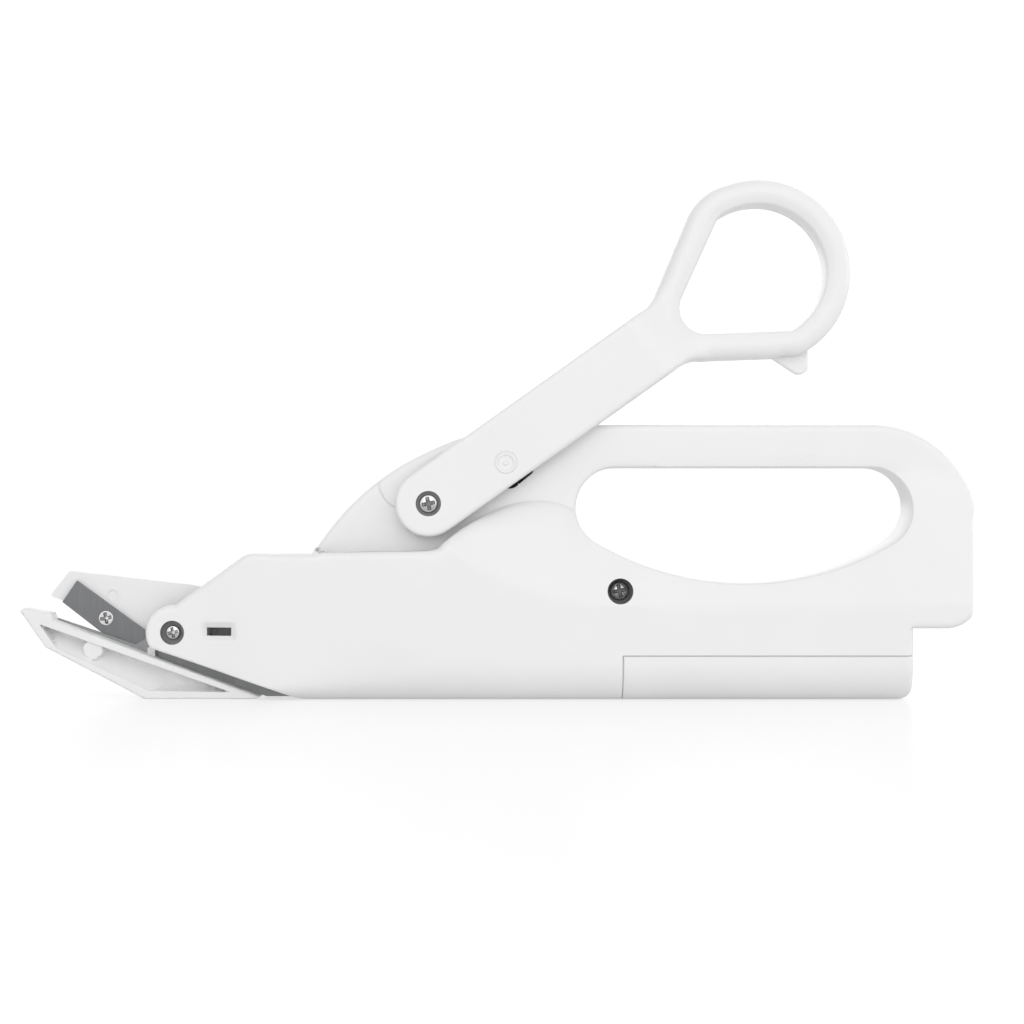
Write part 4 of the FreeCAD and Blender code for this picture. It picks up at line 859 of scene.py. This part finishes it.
def lever():
    """The thumb-ring lever: a fork over the fin, its ring, its hinge bosses and the hook under the ring."""
    outline = trace(lever_steps(), 0.9)
    opening = trace(ring_hole_steps(), 0.9)
    cup_round = 3.3
    across = np.array((-ARM_DIRECTION[1], ARM_DIRECTION[0]))
    middle = LEVER_PIVOT + ARM_DIRECTION * CROTCH
    run = np.arange(0, 12, 0.02)[:, None]
    reach = [run[inside(middle + way * across * run, outline)][-1, 0] for way in (-1, 1)]
    crotch = middle + np.linspace(-reach[0], reach[1], 24)[:, None] * across
    marks = [(ring(DRIVE_PIN, r, 44), True) for r in (0.4, 0.8, 1.95, 2.2, 2.6, 2.85, 3.3)]
    rings = [ring(LEVER_PIVOT, cup_round + gap) for gap in (0.12, 0.4, 0.9)]
    depths = (0.06, 0.25, 0.55, 0.95, 1.5, 2.1, 2.8, 3.5)
    lines = [(crotch, False), (ring(LEVER_PIVOT, cup_round), True), *marks]
    patch = Patch(outline, [opening], lines, rings, 2.2, depths)
    centres = patch.centres

    def half(points):
        u = along_arm(points)
        plain = ARM_OUTSIDE + (RING_HALF - ARM_OUTSIDE) * ease((u - 70.0) / 15.0)
        edge, thumb = nearest(points, outline)[0], nearest(points, opening)[0]
        at_ring = ease((u - 72.0) / 14.0)
        rounding = np.maximum(fillet(edge, 1.0 + 2.2 * at_ring), fillet(thumb, 0.6))
        bevel = 0.95 * np.clip(1 - thumb / 2.4, 0, 1)
        pin = np.linalg.norm(points - DRIVE_PIN, axis=1)
        raised = np.interp(pin, [0, 0.4, 0.8, 1.95, 2.2, 2.6, 2.85], [0.8, 0.8, 0, 0, 1, 1, 0])
        sunk = np.interp(pin, [2.85, 3.3], [1, 0])
        return plain - rounding - bevel + 0.45 * raised - 0.22 * sunk

    def fork(points):
        bend = np.clip(along_arm(points) - (CROTCH - 7.0), 0, 7.0)
        return ARM_INSIDE - 7.0 + np.sqrt(49.0 - bend**2)

    def hook_half(points):
        return 1.5 - fillet(nearest(points, HOOK)[0], 0.35)

    outer_area = np.full(len(centres), "arm", object)
    outer_area[np.linalg.norm(centres - LEVER_PIVOT, axis=1) < cup_round] = "cup"
    inner_area = np.where(along_arm(centres) < CROTCH, "fork", "joined").astype(object)
    outer, inner = {"arm": half, "cup": flat(11.5)}, {"fork": fork, "joined": None}
    hook = Patch(HOOK, (), (), (), 1.0, (0.15, 0.4))
    upright = Matrix.Rotation(math.pi / 2, 3, "X")
    sheet = bmesh.new()
    for side in (-1, 1):
        patch.lift(sheet, side, outer, inner, outer_area, inner_area)
        hook.lift(sheet, side, {"all": hook_half}, {"all": None})
        size = {"segments": 48, "radius1": 6.6 * MM, "radius2": 6.6 * MM, "depth": 2.0 * MM}
        boss = bmesh.ops.create_cone(sheet, cap_ends=True, **size)["verts"]
        bmesh.ops.rotate(sheet, matrix=upright, verts=boss)
        bmesh.ops.translate(sheet, vec=Vector((LEVER_PIVOT[0], side * 9.02, LEVER_PIVOT[1])) * MM, verts=boss)
    look = MATERIALS["lever_white"]
    return finished("ring_lever_skin", sheet, "lever", ["ring_lever"], look)


# ------------------------------------------------------------- lower jaw

JAW_BOSS = np.array((-107.5, 13.1))


def lower_jaw():
    """The white shoe under the fixed blade: a drafted pocket with the boss of its screw, and a lug."""
    outline = trace(
        rounded([(-126.75, 23.3), (-125.6, 24.15), (-118.5, 22.8), (-117.8, 20.75), (-63.2, 0.6),
                 (-64.3, 0.0), (-93.6, 0.0, 2.0), (-120.0, 13.7, 2.0)])
    )
    pocket_corners = [(-121.6, 19.9, 0.1), (-117.2, 13.6, 1.0), (-92.5, 2.2, 1.5), (-70.7, 1.8, 0.1)]
    pocket = trace(rounded(pocket_corners), 0.8)
    lower_rim = np.array([(-117.2, 13.6), (-92.5, 2.2)])
    tail = polar(JAW_BOSS, 4.4, 245)
    rings = [ring(JAW_BOSS, r) for r in (1.5, 2.3, 2.6, 2.85, 3.1, 3.6)]
    patch = Patch(outline, (), [(pocket, True)], rings, 1.3, (0.1, 0.3, 0.6, 1.0, 1.5, 2.2, 3.0))
    face, floor, boss_face, back = 8.0, 2.2, 7.2, 0.4

    def half(points):
        within = inside(points, pocket)
        steep = np.interp(nearest(points, pocket)[0], [0, 0.3, 0.9, 1.8], [0, 0.55, 0.85, 1.0])
        gentle = ease(nearest(points, lower_rim, closed=False)[0] / 6.5) ** 0.7
        sunk = face - (face - floor) * np.where(within, np.minimum(steep, 0.08 + 0.92 * gentle), 0.0)
        boss = boss_face - 9.0 * np.clip(np.linalg.norm(points - JAW_BOSS, axis=1) - 2.6, 0, None)
        run = np.array(tail) - JAW_BOSS
        t = np.clip((points - JAW_BOSS) @ run / (run @ run), 0, 1)
        rib = 7.0 - 7.0 * np.clip(np.linalg.norm(points - JAW_BOSS - t[:, None] * run, axis=1) - 0.6, 0, None)
        return np.maximum(sunk, np.maximum(boss, rib)) - fillet(nearest(points, outline)[0], 0.45)

    sheet = bmesh.new()
    patch.lift(sheet, -1, {"all": half}, {"all": flat(back)})
    block(sheet, (2.0, 2.6, 3.2), (-92.6, -1.7, 11.8))
    return finished("lower_jaw_skin", sheet, "housing", ["lower_jaw"], MATERIALS["jaw_white"])


# ------------------------------------------------------------- screws

# Pan-head screws: node, body, centre, head radius, and the y of the head's face and of the tip.
PAN_HEADS = (
    ("body_screw", "housing", BODY_SCREW, 2.5, -9.85, 9.0),
    ("jaw_pivot_screw", "housing", JAW_PIVOT, 1.9, -8.6, 9.5),
    ("lever_screw", "lever", LEVER_PIVOT, 2.4, -13.0, 13.0),
)
# The moving blade's countersunk screw: its rings (radius, y) below the top face.
COUNTERSUNK = ((1.95, 0.95), (1.0, 1.85), (1.0, 5.0))


def pan_head(radius, face, tip):
    """The rings (radius, y) of a pan-head screw below its top face."""
    under, shank = face + 0.5 * radius, 1.5
    return [(radius, under), (shank, under), (shank, tip - 1.2), (0.3, tip)]


def phillips(node, body, centre, radius, face, below, dome=0.18):
    """A screw with a cross recess, its head's outer face at y = face, and rings (radius, y) below that."""
    spokes = np.linspace(0, 2 * math.pi, 96, endpoint=False)
    levels = []
    for part in np.linspace(0.04, 1.0, 28):
        along, across = np.abs(part * np.cos(spokes - 0.2)), np.abs(part * np.sin(spokes - 0.2))
        walls = ease((0.21 - np.minimum(along, across)) / 0.06) * ease((0.74 - part) / 0.05)
        recess = 0.95 * walls * np.clip((0.80 - part) / 0.6, 0, 1)
        rim = 0.12 * max(0.0, (part - 0.88) / 0.12) ** 2
        levels.append((part * radius, face + radius * (recess + rim - dome * (1 - part**2))))
    levels += [(r, np.full(len(spokes), y)) for r, y in below]
    sheet = bmesh.new()
    loops = [
        [sheet.verts.new(((centre[0] + r * math.cos(a)) * MM, y * MM, (centre[1] + r * math.sin(a)) * MM))
         for a, y in zip(spokes, heights)]
        for r, heights in levels
    ]
    for inner, outer in zip(loops, loops[1:]):
        for j in range(len(spokes)):
            sheet.faces.new((inner[j - 1], inner[j], outer[j], outer[j - 1]))
    for loop in (loops[0], loops[-1]):
        sheet.faces.new(loop)
    return finished(node + "_head", sheet, body, [node], MATERIALS["screw_steel"], 40.0)


# ------------------------------------------------------------- CAD nodes that stay


def dress_cad_nodes():
    """Gives every CAD node its finish; flat-sided pieces get softly broken edges."""
    slots = {part["node"]: part["material_slot"] for part in frame["record"]["subparts"]}
    breaks = {"upper_jaw": 0.35, "lower_blade": 0.08, "upper_blade": 0.08, "battery_tray": 0.3,
              "switch_body": 0.3, "switch_plunger": 0.25, "motor_end_cap": 0.4, "motor_can": 0.5}
    for name, node in NODES.items():
        node.data.materials.clear()
        node.data.materials.append(MATERIALS["blade_back" if name == "lower_blade" else slots[name]])
        if name in breaks:
            plain = node.modifiers.new("flatten", "DECIMATE")
            plain.decimate_type = "DISSOLVE"
            plain.angle_limit = math.radians(1.5)
            soft = node.modifiers.new("broken_edges", "BEVEL")
            soft.width = breaks[name] * MM
            soft.segments = 3
            soft.limit_method = "ANGLE"
            soft.angle_limit = math.radians(35)
            soft.harden_normals = True
            soft.miter_outer = "MITER_ARC"


# ------------------------------------------------------------- stage

# The white room's strength from the sides and above, what it gains square on, and its tilt to the right.
ROOM_SIDES, ROOM_FRONT, ROOM_RIGHT = 0.62, 1.17, 0.12
# The floor: what it gives back of the light it gets and its own glow, each as the object and the camera
# see it, and how much it mirrors.
FLOOR_DULL, FLOOR_GLOW = (0.45, 0.5), (0.33, 0.55)
FLOOR_MIRROR = 0.12
FLOOR_REACH = 6.0
# Soft lamps: name, place in metres, size in metres, power in watts.
LAMPS = (("front", (-0.3, -1.6, 0.5), 0.8, 1.2), ("right", (1.1, 0.10, 0.25), 0.6, 1.7))
# The camera: its place in metres and its lens in millimetres.
CAMERA_PLACE, CAMERA_LENS = (0.0037, -0.700, 0.0496), 91.8


def matt_glow(tree, dull, glow):
    diffuse = add(tree, "ShaderNodeBsdfDiffuse", Color=(dull, dull, dull, 1))
    shine = add(tree, "ShaderNodeEmission", Strength=glow)
    both = add(tree, "ShaderNodeAddShader")
    link(tree, diffuse.outputs["BSDF"], both.inputs[0])
    link(tree, shine.outputs["Emission"], both.inputs[1])
    return both.outputs["Shader"]


def mixed(tree, factor, first, second):
    """Mixes two shaders by a factor, which is a number or a node's output."""
    node = add(tree, "ShaderNodeMixShader")
    if isinstance(factor, float):
        node.inputs["Fac"].default_value = factor
    else:
        link(tree, factor, node.inputs["Fac"])
    link(tree, first, node.inputs[1])
    link(tree, second, node.inputs[2])
    return node.outputs["Shader"]


def floor_material():
    """A floor that looks white and faintly mirrors the object, but throws little light up on it."""
    made = bpy.data.materials.new("floor_white")
    made.use_nodes = True
    tree = made.node_tree
    tree.nodes.remove(tree.nodes["Principled BSDF"])
    mirror = add(tree, "ShaderNodeBsdfGlossy", Roughness=0.22)
    seen = mixed(tree, FLOOR_MIRROR, matt_glow(tree, FLOOR_DULL[1], FLOOR_GLOW[1]), mirror.outputs["BSDF"])
    path = add(tree, "ShaderNodeLightPath")
    unseen = matt_glow(tree, FLOOR_DULL[0], FLOOR_GLOW[0])
    shader = mixed(tree, path.outputs["Is Camera Ray"], unseen, seen)
    link(tree, shader, tree.nodes["Material Output"].inputs["Surface"])
    return made


def stage():
    """A pale floor, a white room and soft studio lights."""
    scene = bpy.context.scene
    scene.view_settings.view_transform = "Standard"
    world = bpy.data.worlds.new("studio")
    scene.world = world
    world.use_nodes = True
    tree = world.node_tree
    room = tree.nodes["Background"]
    place = add(tree, "ShaderNodeTexCoord")
    parts = add(tree, "ShaderNodeSeparateXYZ")
    link(tree, place.outputs["Generated"], parts.inputs["Vector"])
    square_on = add(tree, "ShaderNodeMath", operation="POWER")
    square_on.inputs[1].default_value = 2.0
    sized = add(tree, "ShaderNodeMath", operation="ABSOLUTE")
    link(tree, parts.outputs["Y"], sized.inputs[0])
    link(tree, sized.outputs["Value"], square_on.inputs[0])
    level = mapped(tree, square_on.outputs["Value"], ROOM_SIDES, ROOM_SIDES + ROOM_FRONT)
    tilt = add(tree, "ShaderNodeMath", operation="MULTIPLY_ADD")
    tilt.inputs[1].default_value = ROOM_RIGHT
    link(tree, parts.outputs["X"], tilt.inputs[0])
    link(tree, level, tilt.inputs[2])
    link(tree, tilt.outputs["Value"], room.inputs["Strength"])
    seen = add(tree, "ShaderNodeBackground")
    seen.inputs["Strength"].default_value = 1.1
    for shader in (room, seen):
        shader.inputs["Color"].default_value = (1, 1, 1, 1)
    path = add(tree, "ShaderNodeLightPath")
    rooms = (shader.outputs["Background"] for shader in (room, seen))
    surface = mixed(tree, path.outputs["Is Camera Ray"], *rooms)
    link(tree, surface, tree.nodes["World Output"].inputs["Surface"])
    mesh = bpy.data.meshes.new("floor")
    square = [(x * FLOOR_REACH, y * FLOOR_REACH, 0) for x, y in ((-1, -1), (1, -1), (1, 1), (-1, 1))]
    mesh.from_pydata(square, [], [(0, 1, 2, 3)])
    floor = bpy.data.objects.new("floor", mesh)
    scene.collection.objects.link(floor)
    mesh.materials.append(floor_material())
    for name, place, size, power in LAMPS:
        light = bpy.data.lights.new(name, "AREA")
        light.shape = "SQUARE"
        light.size = size
        light.energy = power
        lamp = bpy.data.objects.new(name, light)
        lamp.location = place
        aim = Vector((0, 0, 0.05)) - Vector(place)
        lamp.rotation_euler = aim.to_track_quat("-Z", "Y").to_euler()
        scene.collection.objects.link(lamp)


def camera():
    """Level with the hand hole, square to the near side."""
    data = bpy.data.cameras.new("camera")
    data.sensor_width = 36.0
    data.lens = CAMERA_LENS
    data.clip_end = 50.0
    made = bpy.data.objects.new("camera", data)
    made.location = CAMERA_PLACE
    made.rotation_euler = (math.pi / 2, 0, 0)
    bpy.context.scene.collection.objects.link(made)
    bpy.context.scene.camera = made


camera()
stage()
dress_cad_nodes()
shell("near_shell_skin", -1, 1.0, 0.42)
shell("far_shell_skin", 1, 8.5, 0.82)
battery_door()
lever()
lower_jaw()
for node, body, centre, radius, face, tip in PAN_HEADS:
    phillips(node, body, centre, radius, face, pan_head(radius, face, tip))
phillips("upper_blade_screw", "cutting_jaw", BLADE_SCREW, 2.1, 0.86, COUNTERSUNK, dome=0.0)
